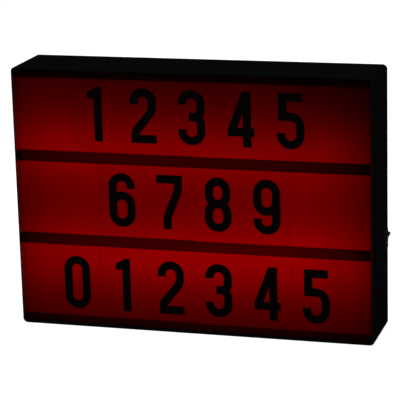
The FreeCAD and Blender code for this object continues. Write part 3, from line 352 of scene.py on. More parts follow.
# %% [markdown]
# ## Glow on the rim
#
# The matt black rim drinks almost all light, but next to the panel it still shows a red edge.
# Traced light would give it after many samples. A faint glow on the housing does it at once: strong
# where the left rim meets the panel and gone two millimetres further out, much narrower on the
# right, and nowhere behind the panel or next to the dark rails on the left.

# %% Rim glow
RIM_SHARE = 0.72
RIM_START, RIM_LEFT, RIM_RIGHT = -0.2, 2.0, 0.4
RIM_DEEP = -20 * MM
tree = matt_black.node_tree
place = tree.nodes["Texture Coordinate"].outputs["Object"]
sideways, upwards, right = outside_opening(tree, place)
width = add(tree, MATH, [right, RIM_RIGHT - RIM_LEFT, RIM_LEFT], operation="MULTIPLY_ADD")
near = add(tree, RANGE, {
    "Value": sideways, "From Min": RIM_START, "From Max": width, "To Min": RIM_SHARE,
    "To Max": 0.0}, interpolation_type="SMOOTHSTEP")
depth = add(tree, SPLIT, [place]).outputs["Y"]
front = add(tree, MATH, [depth, RIM_DEEP], operation="LESS_THAN")
between = add(tree, MATH, [upwards, 0.0], operation="LESS_THAN")
shine(tree, tree.nodes["Principled BSDF"], glow(tree, place),
      (near, front, between, clear_of_rails(tree, place, right, 0.0)))
print("rim glow on", matt_black.name)

# %% [markdown]
# ## Clear tiles
#
# A tile is die-cut from 0.5 mm clear PET. Glass-like transmission would be truer to physics, but
# its faces mirror the white room and would grey the glow behind them. A nearly clear alpha keeps
# the glow as it is. The cut edges scatter a little light, so faces that look sideways get more body
# and show as thin upright lines. A row is its digits and how high they stand on their tiles.

# %% PET film
ROWS = {1: ("12345", 11.6), 2: ("6789", 10.9), 3: ("012345", 8.6)}
FACE_BODY, EDGE_BODY = 0.05, 0.6
pet_clear, tree, shader, place = finish(
    "die_cut_pet_clear", base_color=linear("0a0404"), ior=1.57, roughness=0.15,
    specular_ior_level=0.0)
normal = add(tree, "ShaderNodeNewGeometry", {}).outputs["Normal"]
parts = add(tree, SPLIT, {"Vector": normal})
sideways = add(tree, MATH, [parts.outputs["X"]], operation="ABSOLUTE")
fill(tree, shader, {"Alpha": add(tree, RANGE, {
    "Value": sideways, "To Min": FACE_BODY, "To Max": EDGE_BODY})})
dress(pet_clear, *["tile_row%d_%d" % (row, k + 1)
                   for row, (text, lift) in ROWS.items() for k in range(len(text))])

# %% [markdown]
# ## Printed digits
#
# The tiles carry plain digits, screen-printed in dense black. Blender's own font is too round and
# light for a cinema sign, whose figures are tall, narrow and even in weight. Each digit here is a
# few strokes, like lettering with a broad marker. A stroke is a row of points, each with the radius
# of its bend and, where it isn't the full one, its share of the width. Geometry nodes round the
# bends and sweep a flat section along the line.

# %% Digit strokes
DIGIT_HEIGHT = 45.3
DIGIT_WIDTH = 22.5
STROKE = 7.0
BEND = 7.7
LEFT, RIGHT = STROKE / 2, DIGIT_WIDTH - STROKE / 2
LOW, HIGH = STROKE / 2, DIGIT_HEIGHT - STROKE / 2
WAIST = 23.2
LOOP = 26.4
NOSE = 38.05  # the flag of the 1


def loop(bottom, top, side=0.0):
    """A closed round-cornered stroke between two heights."""
    return [(LEFT + side, bottom, BEND), (RIGHT - side, bottom, BEND), (RIGHT - side, top, BEND),
            (LEFT + side, top, BEND), "closed"]


ARCH = [(LEFT, HIGH, BEND), (RIGHT, HIGH, BEND)]
BOWL = [(RIGHT, LOW, BEND), (LEFT, LOW, BEND), (LEFT, 13, 0)]
DIGITS = {
    "0": [loop(LOW, HIGH)],
    "1": [[(13.5, 0, 0), (13.5, 41, 0)], [(14.8, 40, 0, 0.63), (14.8, DIGIT_HEIGHT, 0, 0.63)],
          [(4.7, NOSE, 0, 0.73), (13, NOSE, 0, 0.73)],
          [(4.7, 40.6, 0, 0.02), (12.6, 40.6, 0, 1.34)]],
    "2": [[(LEFT, 32, 0), *ARCH, (RIGHT, 27, 10), (4.3, 9, 5), (4.3, 1, 0)],
          [(0.8, LOW, 0), (22.2, LOW, 0)]],
    "3": [[(LEFT, 33, 0), *ARCH, (RIGHT, WAIST, 6), (9, WAIST, 0)],
          [(9, WAIST, 0), (RIGHT, WAIST, 6), *BOWL]],
    "4": [[(16.4, 0, 0), (16.4, DIGIT_HEIGHT, 0)], [(0.4, 12.2, 0), (22.4, 12.2, 0)],
          [(15.6, 44, 0), (3.7, 13.5, 0)]],
    "5": [[(1.2, HIGH, 0), (21, HIGH, 0)], [(4.7, HIGH, 0), (4.7, 22.7, 0)],
          [(4.7, 26.2, 0), (RIGHT, 26.2, BEND), *BOWL]],
    "6": [loop(LOW, LOOP), [(LEFT, 14, 0), *ARCH, (RIGHT, 32.5, 0)]],
    "7": [[(0.4, HIGH, 0), (22.2, HIGH, 0)],
          [(18.7, HIGH, 0), (18.7, 33, 12), (9, 10, 12), (9, 0, 0)]],
    "8": [loop(LOW, WAIST), loop(WAIST, HIGH, 0.6)],
    "9": [loop(DIGIT_HEIGHT - LOOP, HIGH), [(RIGHT, 31, 0), *BOWL[:2], (LEFT, 12.8, 0)]],
}


def new_mesh(name, points, edges=(), faces=(), **marks):
    """A mesh of points, edges and faces, with named values at its points."""
    mesh = bpy.data.meshes.new(name)
    mesh.from_pydata(points, edges, faces)
    for label, values in marks.items():
        kind = "BOOLEAN" if isinstance(values[0], bool) else "FLOAT"
        mesh.attributes.new(label, kind, "POINT").data.foreach_set("value", values)
    return mesh


def stroke_mesh(strokes, width=DIGIT_WIDTH):
    """The strokes as bare edges in the XY plane, with each point's bend and share of the width."""
    points, edges, bends, shares = [], [], [], []
    for stroke in strokes:
        first = len(points)
        corners = [corner for corner in stroke if corner != "closed"]
        for across, up, bend, *share in corners:
            points.append(((across - width / 2) * MM, up * MM, 0))
            bends.append(bend * MM)
            shares.append(share[0] if share else 1.0)
        edges += [(first + k, first + k + 1) for k in range(len(corners) - 1)]
        if "closed" in stroke:
            edges.append((first + len(corners) - 1, first))
    return new_mesh("strokes", points, edges, bend=bends, share=shares)


print("digits drawn:", len(DIGITS))

# %% [markdown]
# ## A tree that inks a stroke, and a way to freeze it
#
# Geometry Nodes keep a shape adjustable until it is needed as a plain mesh. Named inputs are set on
# the modifier by the socket's identifier. Any program can read the frozen copy, so the modifier
# goes before the piece is handed over. A closed shape whose volume comes out negative is inside
# out, and is turned. Curved faces are shaded smooth, and sharp edges stay crisp.

# %% Geometry tree helpers
CRISP = math.radians(35)


def new_object(name, data):
    """A new object in the scene."""
    thing = bpy.data.objects.new(name, data)
    bpy.context.collection.objects.link(thing)
    return thing


def new_tree(name, sizes):
    """A geometry tree with one geometry input and named number inputs."""
    tree = bpy.data.node_groups.new(name, "GeometryNodeTree")
    tree.interface.new_socket("Geometry", in_out="INPUT", socket_type="NodeSocketGeometry")
    for label in sizes:
        tree.interface.new_socket(label, in_out="INPUT", socket_type="NodeSocketFloat")
    tree.interface.new_socket("Geometry", in_out="OUTPUT", socket_type="NodeSocketGeometry")
    return tree, tree.nodes.new("NodeGroupInput").outputs


def end_tree(tree, shape, material):
    """Every tree ends in plain geometry with a material."""
    real = add(tree, "GeometryNodeRealizeInstances", [shape])
    inked = add(tree, "GeometryNodeSetMaterial", {"Geometry": real, "Material": material})
    add(tree, "NodeGroupOutput", [inked])


def grow(name, mesh, tree, sizes):
    """Runs a tree on a mesh with the given sizes and returns the plain result as an object."""
    piece = new_object(name, mesh)
    modifier = piece.modifiers.new("grow", "NODES")
    modifier.node_group = tree
    for item in tree.interface.items_tree:
        if item.name in sizes:
            modifier[item.identifier] = float(sizes[item.name])
    bpy.context.view_layer.update()
    seen = piece.evaluated_get(bpy.context.evaluated_depsgraph_get())
    frozen = bpy.data.meshes.new_from_object(seen)
    piece.modifiers.clear()
    piece.data = frozen
    body = bmesh.new()
    body.from_mesh(frozen)
    volume = body.calc_volume(signed=True)
    body.free()
    if volume < 0:
        frozen.flip_normals()
    print(name, "has", len(frozen.polygons), "faces,", round(abs(volume) / MM ** 3, 2), "mm3")
    frozen.shade_smooth()
    frozen.set_sharp_from_angle(angle=CRISP)
    return piece


# %% Ink and the stroke tree
ARC_POINTS = 12
ink = finish("screen_print_black", bump=(1.2, 2.0, 0.2, 0.02), base_color=linear("050303"),
             roughness=0.5, specular_ior_level=0.0)[0]


def print_tree(material):
    """Sweeps a flat section along strokes and unites them into one print."""
    tree, given = new_tree("strokes_" + material.name, ("Width", "Thickness"))
    bend, share = [
        add(tree, "GeometryNodeInputNamedAttribute", {"Name": name}, data_type="FLOAT")
        for name in ("bend", "share")]
    line = add(tree, "GeometryNodeMeshToCurve", [given["Geometry"]])
    rounded = add(tree, "GeometryNodeFilletCurve", {
        "Curve": line, "Radius": bend, "Count": ARC_POINTS, "Limit Radius": True}, mode="POLY")
    upright = add(tree, "GeometryNodeSetCurveNormal", {"Curve": rounded}, mode="Z_UP")
    section = add(tree, "GeometryNodeCurvePrimitiveQuadrilateral", {
        "Width": given["Width"], "Height": given["Thickness"]})
    swept = add(tree, "GeometryNodeCurveToMesh", {
        "Curve": upright, "Profile Curve": section, "Scale": share, "Fill Caps": True})
    joined = add(tree, "GeometryNodeMeshBoolean", {"Mesh 2": swept, "Self Intersection": True},
                 operation="UNION", solver="EXACT")
    end_tree(tree, joined, material)
    return tree


ink_tree = print_tree(ink)
print("tree for", ink.name)

# %% Print the tiles
INK = 0.06 * MM
STAND_UP = Matrix.Rotation(math.pi / 2, 4, "X")

for row, (text, lift) in ROWS.items():
    for k, digit in enumerate(text):
        name = "row%d_%d" % (row, k + 1)
        tile_low, tile_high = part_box("tile_" + name)
        print_piece = grow("digit_" + name, stroke_mesh(DIGITS[digit]), ink_tree,
                           {"Width": STROKE * MM, "Thickness": INK})
        middle = (tile_low.x + tile_high.x) / 2
        foot = Vector((middle, tile_low.y - INK / 2, tile_low.z + lift * MM))
        print_piece.data.transform(Matrix.Translation(foot) @ STAND_UP)
        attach(print_piece, "letter_" + name)
print("printed tiles:", sum(len(text) for text, lift in ROWS.values()))

# %% [markdown]
# ## Turned shapes
#
# Screws and battery cells are round, so each is a short list of radii and heights, spun about an
# axis. Blender has a Spin tool and a Screw modifier, but rings of points leave no seam to merge,
# and all faces already point outwards.

# %% Turned mesh
SIDES = 40


def turned(name, outline):
    """A closed mesh of (radius, height) points in mm, from bottom to top, spun about Z."""
    points, faces, rings = [], [], []
    for radius, height in outline:
        rings.append([len(points) + k for k in range(SIDES if radius else 1)])
        for k in range(len(rings[-1])):
            turn = 2 * math.pi * k / SIDES
            points.append((radius * MM * math.cos(turn), radius * MM * math.sin(turn), height * MM))
    for below, above in zip(rings, rings[1:]):
        for k in range(SIDES):
            face = [below[k % len(below)], below[(k + 1) % len(below)],
                    above[(k + 1) % len(above)], above[k % len(above)]]
            faces.append(list(dict.fromkeys(face)))
    return new_mesh(name, points, faces=faces)


print("sides of a turned shape:", SIDES)

# %% [markdown]
# ## Cover screws
#
# Four self-tapping screws hold the back cover, one in each corner. Their pan heads have a cross
# recess and a dull coat of black phosphate that lets the steel show through faintly. One screw is
# turned, with rings for its thread, and its recess is cut with two crossed blocks. A grid of four
# points carries the copies.

# %% Screws
blackened = finish(
    "phosphated_steel_black", bump=(0.5, 4.0, 0.3, 0.03), sheen=(0.5, 4.0, 0.38, 0.6),
    base_color=linear("1c1c1e"), metallic=0.6)[0]
screw_low, screw_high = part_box("cover_screws")
HEAD_RADIUS, HEAD_HEIGHT, SHANK_RADIUS = 2.8, 1.7, 1.45
CORE_RADIUS = SHANK_RADIUS - 0.3
THREADS, THREAD_PITCH = 7, 1.1
RECESS = {"Slot Length": 3.1 * MM, "Slot Width": 0.75 * MM, "Slot Depth": 2.0 * MM}
end = HEAD_HEIGHT - (screw_high.y - screw_low.y) / MM
SCREW_OUTLINE = [(0, end), (0.5, end), (SHANK_RADIUS - 0.25, end + 1.6)]
for thread in range(THREADS):
    foot = end + 2.0 + THREAD_PITCH * thread
    SCREW_OUTLINE += [(CORE_RADIUS, foot), (SHANK_RADIUS, foot + 0.4), (CORE_RADIUS, foot + 0.8)]
SCREW_OUTLINE += [(CORE_RADIUS, 0), (HEAD_RADIUS, 0), (HEAD_RADIUS, 0.75), (2.6, 1.2), (2.1, 1.5),
                  (1.2, 1.66), (0, HEAD_HEIGHT)]

tree, given = new_tree("four_screws", ("Across", "Up", *RECESS))
blocks = []
for x, y in (("Slot Length", "Slot Width"), ("Slot Width", "Slot Length")):
    size = add(tree, COMBINE, [given[x], given[y], given["Slot Depth"]])
    blocks.append(add(tree, "GeometryNodeMeshCube", {"Size": size}))
cross = add(tree, "GeometryNodeJoinGeometry", [blocks[0]])
fill(tree, cross, [blocks[1]])
raised = add(tree, "GeometryNodeTransform", {0: cross, "Translation": (0, 0, HEAD_HEIGHT * MM)})
driven = add(tree, "GeometryNodeMeshBoolean",
             {"Mesh 1": given["Geometry"], "Mesh 2": raised, "Self Intersection": True},
             operation="DIFFERENCE", solver="EXACT")
corners = add(tree, "GeometryNodeMeshGrid", {
    "Size X": given["Across"], "Size Y": given["Up"], "Vertices X": 2, "Vertices Y": 2})
end_tree(tree, add(tree, "GeometryNodeInstanceOnPoints", {"Points": corners, "Instance": driven}),
         blackened)
screws = grow("pan_head_screws", turned("pan_head_screw", SCREW_OUTLINE), tree, {
    "Across": screw_high.x - screw_low.x - 2 * HEAD_RADIUS * MM,
    "Up": screw_high.z - screw_low.z - 2 * HEAD_RADIUS * MM, **RECESS})
middle = (screw_low + screw_high) / 2
seat = Vector((middle.x, screw_high.y - HEAD_HEIGHT * MM, middle.z))
BACKWARD = Matrix.Rotation(-math.pi / 2, 4, "X")
screws.data.transform(Matrix.Translation(seat) @ BACKWARD)
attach(screws, "housing")
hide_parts("cover_screws")

# %% [markdown]
# ## Battery cells
#
# Six AA cells lie side by side in the bay, every other one upside down. A cell is a steel can in a
# thin shrink sleeve, here pale grey with a broad dark band and no print. The sleeve folds over both
# ends, and the bare steel shows inside the fold. The tree lays six copies of one upright cell along
# a line and turns the odd ones over, about the middle of the bay.

# %% Metal and sleeve
STEEL_GRAIN = 0.25
ROLLED = (1.0, 1.0, 0.06)


def plated_metal(name, code, low_sheen, high_sheen):
    """Rolled, plated metal: streaks along the sheet and a sheen that varies with them."""
    return finish(name, (STEEL_GRAIN, 3.0, 0.15, 0.02), (STEEL_GRAIN, 3.0, low_sheen, high_sheen),
                  ROLLED, base_color=linear(code), metallic=1.0)[0]


nickel = plated_metal("nickel_plated_steel", "c9c6bd", 0.22, 0.38)
dress(nickel, "contact_plates", "jack_contacts")
tinned = plated_metal("tinned_brass_blades", "cfc8b4", 0.3, 0.45)
dress(tinned, "switch_terminals")

cell_low, cell_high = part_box("aa_cell_1")
bay_low, bay_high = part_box("contact_springs")
room_middle = (bay_low.z + bay_high.z) / 2
BAND_HALF = 14 * MM
sleeve_film, tree, shader, place = finish(
    "pvc_shrink_sleeve_grey", bump=(6, 2.0, 0.2, 0.3), sheen=(6, 2.0, 0.22, 0.34), ior=1.53,
    specular_ior_level=0.4)
height = add(tree, SPLIT, [place]).outputs["Z"]
band = add(tree, MATH, [height, room_middle, BAND_HALF], operation="COMPARE")
fill(tree, shader, {"Base Color": add(tree, "ShaderNodeMix", {
    "Factor": band, "A": linear("b9babb"), "B": linear("3c4046")}, data_type="RGBA")})

# %% Six in a row
CELLS = 6
CELL_RADIUS = (cell_high.x - cell_low.x) / 2 / MM
TIP_HEIGHT = 1.0
flat, tip = (cell_low.z - room_middle) / MM, (cell_high.z - room_middle) / MM
rim = tip - TIP_HEIGHT
SLEEVE_OUTLINE = [
    (0, flat + 0.3), (5.9, flat + 0.3), (6.1, flat + 0.05), (6.6, flat), (7.05, flat + 0.2),
    (CELL_RADIUS, flat + 0.7), (CELL_RADIUS, rim - 0.7), (7.05, rim - 0.2), (6.6, rim), (5.0, rim),
    (4.8, rim - 0.3), (0, rim - 0.3)]
NUB_OUTLINE = [(0, rim - 0.4), (4.9, rim - 0.4), (4.9, rim - 0.1), (2.9, rim - 0.1),
               (2.7, tip - 0.3), (2.45, tip), (0, tip)]
DISC_OUTLINE = [(0, flat), (3.4, flat), (3.9, flat + 0.12), (5.95, flat + 0.12),
                (5.95, flat + 0.4), (0, flat + 0.4)]
cell_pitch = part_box("aa_cell_2")[0].x - cell_low.x
bay_middle = Vector((0, (cell_low.y + cell_high.y) / 2, room_middle))


def row_tree(material):
    """Lays six copies along X and turns every other one over."""
    tree, given = new_tree("row_of_six_" + material.name, ("Pitch",))
    start = add(tree, MATH, [given["Pitch"], (1 - CELLS) / 2], operation="MULTIPLY")
    first = add(tree, COMBINE, [start])
    step = add(tree, COMBINE, [given["Pitch"]])
    line = add(tree, "GeometryNodeMeshLine", {
        "Count": CELLS, "Start Location": first, "Offset": step})
    number = add(tree, "GeometryNodeInputIndex", {})
    odd = add(tree, MATH, [number, 2.0], operation="MODULO")
    angle = add(tree, MATH, [odd, math.pi], operation="MULTIPLY")
    turn = add(tree, COMBINE, [angle])
    rotation = add(tree, "FunctionNodeEulerToRotation", [turn])
    copies = add(tree, "GeometryNodeInstanceOnPoints", {
        "Points": line, "Instance": given["Geometry"], "Rotation": rotation})
    end_tree(tree, copies, material)
    return tree


def lay_row(name, mesh, tree, slot, *stands_for):
    """Six copies of a mesh in the bay."""
    piece = grow(name, mesh, tree, {"Pitch": cell_pitch})
    piece.data.transform(Matrix.Translation(bay_middle))
    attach(piece, "housing")
    if stands_for:
        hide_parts(*stands_for)


sleeve_row, nickel_row = row_tree(sleeve_film), row_tree(nickel)
lay_row("cell_sleeves", turned("sleeve", SLEEVE_OUTLINE), sleeve_row, "cell",
        *["aa_cell_%d" % (k + 1) for k in range(CELLS)])
lay_row("cell_tips", turned("tip", NUB_OUTLINE), nickel_row, "metal")
lay_row("cell_bases", turned("base", DISC_OUTLINE), nickel_row, "metal")

# %% [markdown]
# ## Contact springs
#
# A tapering spring of nickel-plated wire presses on the flat end of each cell. It is a spiral that
# rises as its radius shrinks, which the Spiral node draws, swept with a small circle. The same row
# tree then lays six of them, turned over with their cells.

# %% Wound spring
WIRE, FOOT, NECK, COILS = 0.3, 3.9, 2.5, 3.5
room_half = (bay_high.z - bay_low.z) / 2 / MM
spring_length = room_half + flat

tree, given = new_tree("wound_spring", ("Wire", "Foot", "Neck", "Length", "Coils"))
spiral = add(tree, "GeometryNodeCurveSpiral",
             {"Resolution": 28, "Rotations": given["Coils"], "Start Radius": given["Foot"],
              "End Radius": given["Neck"], "Height": given["Length"]})
wire = add(tree, "GeometryNodeCurvePrimitiveCircle", {"Resolution": 10, "Radius": given["Wire"]})
wound = add(tree, "GeometryNodeCurveToMesh", {
    "Curve": spiral, "Profile Curve": wire, "Fill Caps": True})
end_tree(tree, wound, nickel)
one = grow("one_spring", bpy.data.meshes.new("empty"), tree, {
    "Wire": WIRE * MM, "Foot": FOOT * MM, "Neck": NECK * MM,
    "Length": (spring_length - 2 * WIRE) * MM, "Coils": COILS})
one.data.transform(Matrix.Translation((0, 0, (WIRE - room_half) * MM)))
spring_mesh = one.data
bpy.data.objects.remove(one)
lay_row("wound_springs", spring_mesh, nickel_row, "metal", "contact_springs")

# %% [markdown]
# ## Switch and power jack
#
# These are bought parts with grains of their own: the switch body and the jack are nylon, the
# rocker is ABS. Seen along the wall, even a faint sheen on them would mirror the white room, so
# they stay matt and a shade paler than the housing.

# %% Bought plastic parts
nylon_black = moulded_plastic("moulded_nylon_black", "151516", 0.5, 0.62, 0.0, 0.5, 0.03)
rocker_black = moulded_plastic("moulded_abs_fine_black", "1b1b1d", 0.45, 0.55, 0.0, 1.5, 0.02)
dress(nylon_black, "switch_body", "dc_jack")
dress(rocker_black, "rocker_button")

# %% [markdown]
# ## Marks on the rocker and the door
#
# A line for on and a ring for off are pad-printed on the two faces of the rocker. The box is lit,
# so the half with the line is the one that is pressed in. An arrow on the battery door shows which
# way to push. All are strokes, like the digits. The rocker's faces slant, so each mark takes the
# middle and the slant of its face from the rocker's own mesh.

# %% Pad print
PRINT = 0.04 * MM
OUTWARD, IN_PLANE = 0.8, 0.999
print_white = finish(
    "pad_print_white", bump=(0.4, 3.0, 0.2, 0.01), base_color=linear("c9c9c4"), roughness=0.5,
    specular_ior_level=0.2)[0]
white_tree = print_tree(print_white)


def face_place(name, outward, side, middle):
    """The middle and direction of a node's largest flat face that looks outward, on one side."""
    near = [face for face in nodes[name].data.polygons
            if face.normal.dot(outward) > OUTWARD and (face.center.z - middle) * side > 0]
    facing = max(near, key=lambda face: face.area).normal.copy()
    plane = [face for face in near if face.normal.dot(facing) > IN_PLANE]
    area = sum(face.area for face in plane)
    return sum((face.area * face.center for face in plane), Vector()) / area, facing


def lay_print(name, strokes, stroke_width, centre, facing, body):
    """Prints strokes flat on a face."""
    piece = grow(name, stroke_mesh(strokes, 0.0), white_tree,
                 {"Width": stroke_width * MM, "Thickness": PRINT})
    across = Vector((0, 0, 1)).cross(facing).normalized()
    turn = Matrix((across, facing.cross(across), facing)).transposed().to_4x4()
    piece.data.transform(Matrix.Translation(centre + facing * PRINT / 4) @ turn)
    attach(piece, body)


switch_low, switch_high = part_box("switch_body")
switch_middle = (switch_low.z + switch_high.z) / 2
RING = 1.05
MARKS = {
    "on_mark": (-1, [[(0, -1.3, 0), (0, 1.3, 0)]]),
    "off_mark": (1, [[(-RING, -RING, RING), (RING, -RING, RING), (RING, RING, RING),
                      (-RING, RING, RING), "closed"]]),
}
for name, (side, strokes) in MARKS.items():
    centre, facing = face_place("rocker_button", Vector((1, 0, 0)), side, switch_middle)
    lay_print(name, strokes, 0.5, centre, facing, "rocker")

ARROW = [[(0, 6, 0), (0, -4, 0)], [(-4, 0.5, 0), (0, -4, 0), (4, 0.5, 0)]]
ARROW_ABOVE = 5 * MM
door_low, door_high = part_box("battery_door")
centre = Vector((0, door_high.y, (door_low.z + door_high.z) / 2 + ARROW_ABOVE))
lay_print("push_arrow", ARROW, 1.1, centre, Vector((0, 1, 0)), "door")

# %% [markdown]
# ## Light chamber
#
# Behind the panel stand a plate of white polystyrene, with the faintest ripple from the calender
# rolls, and two LED strips. These carry white solder mask with two bare copper pads beside each
# LED, and the LEDs are pale ceramic with a yellow disc of phosphor. Pads and discs repeat at the
# pitch of the LEDs, so their pattern is the fraction of x over that pitch.

# %% White sheet, strips and LEDs
RIPPLE = 90 * MM
sheet_white, tree, shader, place = finish(
    "calendered_polystyrene_white", base_color=linear("efeeea"), ior=1.59, specular_ior_level=0.4)
ripple = add(tree, "ShaderNodeTexWave", {"Vector": place, "Scale": 1 / RIPPLE, "Distortion": 4.0},
             bands_direction="Z")
fill(tree, shader, {"Roughness": add(tree, RANGE, {
    "Value": ripple.outputs["Fac"], "To Min": 0.3, "To Max": 0.42})})
dress(sheet_white, "led_plate")

LED_PITCH = 16.7
PAD_MIDDLE, PAD_HALF, PAD_UP, DISC = 5.2, 1.1, 2.4, 1.8
strip_names = ("led_strip_lower", "led_strip_upper")


def pitch_offsets(tree, place):
    """Distances in mm from the middle of the nearest LED, sideways and upwards."""
    spot = add(tree, SPLIT, [place])
    steps = add(tree, MATH, [spot.outputs["X"], LED_PITCH * MM], operation="DIVIDE")
    part = add(tree, MATH, [steps], operation="FRACT")
    beside = add(tree, MATH, [part, LED_PITCH, -LED_PITCH / 2], operation="MULTIPLY_ADD")
    gaps = []
    for name in strip_names:
        height = sum(corner.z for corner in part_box(name)) / 2
        gaps.append(beyond(tree, spot.outputs["Z"], height, height))
    return beside, add(tree, MATH, gaps, operation="MINIMUM")


mask_white, tree, shader, place = finish("solder_mask_white", roughness=0.32)
beside, above = pitch_offsets(tree, place)
reach = add(tree, MATH, [beside], operation="ABSOLUTE")
pad = add(tree, MATH, [reach, PAD_MIDDLE, PAD_HALF], operation="COMPARE")
wide = add(tree, MATH, [above, PAD_UP], operation="LESS_THAN")
copper = add(tree, MATH, [pad, wide], operation="MULTIPLY")
fill(tree, shader, {"Metallic": copper, "Base Color": add(tree, "ShaderNodeMix", {
    "Factor": copper, "A": linear("ecebe6"), "B": linear("b98a52")}, data_type="RGBA")})
dress(mask_white, *strip_names)

led_package, tree, shader, place = finish("led_package_ceramic", roughness=0.4)
spread = add(tree, COMBINE, pitch_offsets(tree, place))
away = add(tree, "ShaderNodeVectorMath", [spread], operation="LENGTH")
disc = add(tree, MATH, [away, DISC], operation="LESS_THAN")
fill(tree, shader, {"Base Color": add(tree, "ShaderNodeMix", {
    "Factor": disc, "A": linear("e6e2d8"), "B": linear("e3b532")}, data_type="RGBA")})
dress(led_package, "leds_upper", "leds_lower")

# %% [markdown]
# ## Electronics
#
# The driver board is glass epoxy under green solder mask, and the copper tracks show through it as
# paler, slightly raised lines. Cells of a Voronoi texture measured along straight axes have the
# right angles of a routed board, so their borders serve as tracks. Chip, coil and capacitor are
# moulded epoxy with a sandy grain. The plug sockets are natural nylon.

# %% Board, chips, sockets and leads
TRACK, TRACK_SHARE = 3.4 * MM, 0.12
fr4_green, tree, shader, place = finish("fr4_solder_mask_green", roughness=0.25)
edges = [add(tree, "ShaderNodeTexVoronoi", {
    "Vector": place, "Scale": 1 / TRACK, "Randomness": 0.55}, feature=feature,
    distance="CHEBYCHEV") for feature in ("F2", "F1")]
gap = add(tree, MATH, edges, operation="SUBTRACT")
track = add(tree, MATH, [gap, TRACK_SHARE], operation="LESS_THAN")
fill(tree, shader, {
    "Base Color": add(tree, "ShaderNodeMix", {
        "Factor": track, "A": linear("12482c"), "B": linear("2b7a4a")}, data_type="RGBA"),
    "Normal": add(tree, "ShaderNodeBump", {
        "Height": track, "Strength": 0.4, "Distance": 0.05 * MM})})
dress(fr4_green, "control_board")

epoxy_black = moulded_plastic("moulded_epoxy_black", "161618", 0.5, 0.65, 0.3, 0.25, 0.02)
nylon_white = moulded_plastic("moulded_nylon_natural", "dcd8c8", 0.36, 0.48, 0.4, 0.6, 0.03)
pvc_red = moulded_plastic("extruded_pvc_red", "a01212", 0.34, 0.46, 0.4, 0.8, 0.03)
pvc_black = moulded_plastic("extruded_pvc_black", "121214", 0.34, 0.46, 0.4, 0.8, 0.03)
dress(epoxy_black, "driver_chip", "board_parts")
dress(nylon_white, "board_terminals")

# %% [markdown]
# ## Inner leads
#
# Seven leads join the battery bay, the switch, the jack, the board and the LED strips. Each is a
# tinned copper strand in a soft PVC sleeve. A lead laid by hand turns in arcs and not in corners,
# so a route is a few points whose corners the Fillet Curve node rounds. One tree sweeps the sleeve,
# which stops short of every soldered end, and the other sweeps the strand and puts a bead of solder
# on those ends. The ends that plug into the board's sockets stay sleeved.

# %% Routes
BARE = 1.8
LEADS = {
    "battery_switch": (pvc_red, BARE, BARE, [
        [(37.5, 17.1, 83), (37.5, 17.5, 92), (60, 17.5, 96), (118, 17.5, 96), (127, 17.2, 86),
         (129, 17.2, 80.5), (131.5, 17.2, 80.5)]]),
    "switch_board": (pvc_red, BARE, 0, [
        [(131.5, 17.2, 72.5), (129, 17.2, 72.5), (113, 17.2, 60), (105, 17.2, 58),
         (103, 17.2, 58)]]),
    "battery_board": (pvc_black, BARE, 0, [
        [(-37.5, 17.1, 83), (-37.5, 19.5, 100), (50, 20.5, 100), (57, 20.5, 92), (57, 17.2, 56),
         (62, 17.2, 54), (64, 17.2, 54)]]),
    "jack_board": (pvc_red, BARE, 0, [
        [(132, 17, 51.1), (120, 17, 49.6), (105, 17, 49.2), (103, 17, 49.2)],
        [(132, 17, 55.5), (120, 17, 54.5), (105, 17, 51.4), (103, 17, 51.4)]]),
    "leds": (pvc_black, 0, BARE, [
        [(87.5, 15.2, 63), (87.5, 13, 63), (104, 11, 100.35), (111.2, 8.5, 109.35),
         (111.2, 3, 109.35), (118.5, 2.8, 117.85), (133, 3, 138.45), (133.8, 4.8, 142.95)],
        [(90.5, 15.2, 63), (90.5, 13, 63), (108, 11, 95.35), (112.8, 8.5, 107.85),
         (112.8, 3, 107.85), (118.5, 2.8, 99.85), (133, 3, 79.55), (133.8, 4.8, 75.05)]]),
}


def route_mesh(routes, bare_start, bare_end):
    """Routes as bare edges, with the soldered ends marked."""
    points, edges, soldered = [], [], []
    for route in routes:
        edges += [(len(points) + k, len(points) + k + 1) for k in range(len(route) - 1)]
        points += [Vector(corner) * MM for corner in route]
        soldered += [bare_start > 0] + [False] * (len(route) - 2) + [bare_end > 0]
    return new_mesh("routes", points, edges, soldered=soldered)


print("leads:", sum(len(lead[-1]) for lead in LEADS.values()))

# %% Sleeve and strand
TRIM_START, TRIM_END = 4, 5  # the Trim Curve inputs that take lengths


def sweep_route(tree, given, sides, trim=None):
    """Sweeps a round section along the route, whose corners become arcs."""
    path = add(tree, "GeometryNodeMeshToCurve", {"Mesh": given["Geometry"]})
    path = add(tree, "GeometryNodeFilletCurve", {
        "Curve": path, "Count": 7, "Radius": given["Bend"], "Limit Radius": True}, mode="POLY")
    if trim:
        path = add(tree, "GeometryNodeTrimCurve", {"Curve": path, **trim}, mode="LENGTH")
    section = add(tree, "GeometryNodeCurvePrimitiveCircle", {
        "Resolution": sides, "Radius": given["Radius"]})
    return add(tree, "GeometryNodeCurveToMesh", {
        "Curve": path, "Profile Curve": section, "Fill Caps": True})


def sleeve_tree(material):
    """Sweeps a round sleeve along the rounded route, cut back at its ends."""
    tree, given = new_tree("sleeve_" + material.name, ("Radius", "Bend", "Bare Start", "Bare End"))
    length = add(tree, "GeometryNodeSplineLength", {})
    stop = add(tree, MATH, [length, given["Bare End"]], operation="SUBTRACT")
    end_tree(tree, sweep_route(tree, given, 14, {TRIM_START: given["Bare Start"], TRIM_END: stop}),
             material)
    return tree


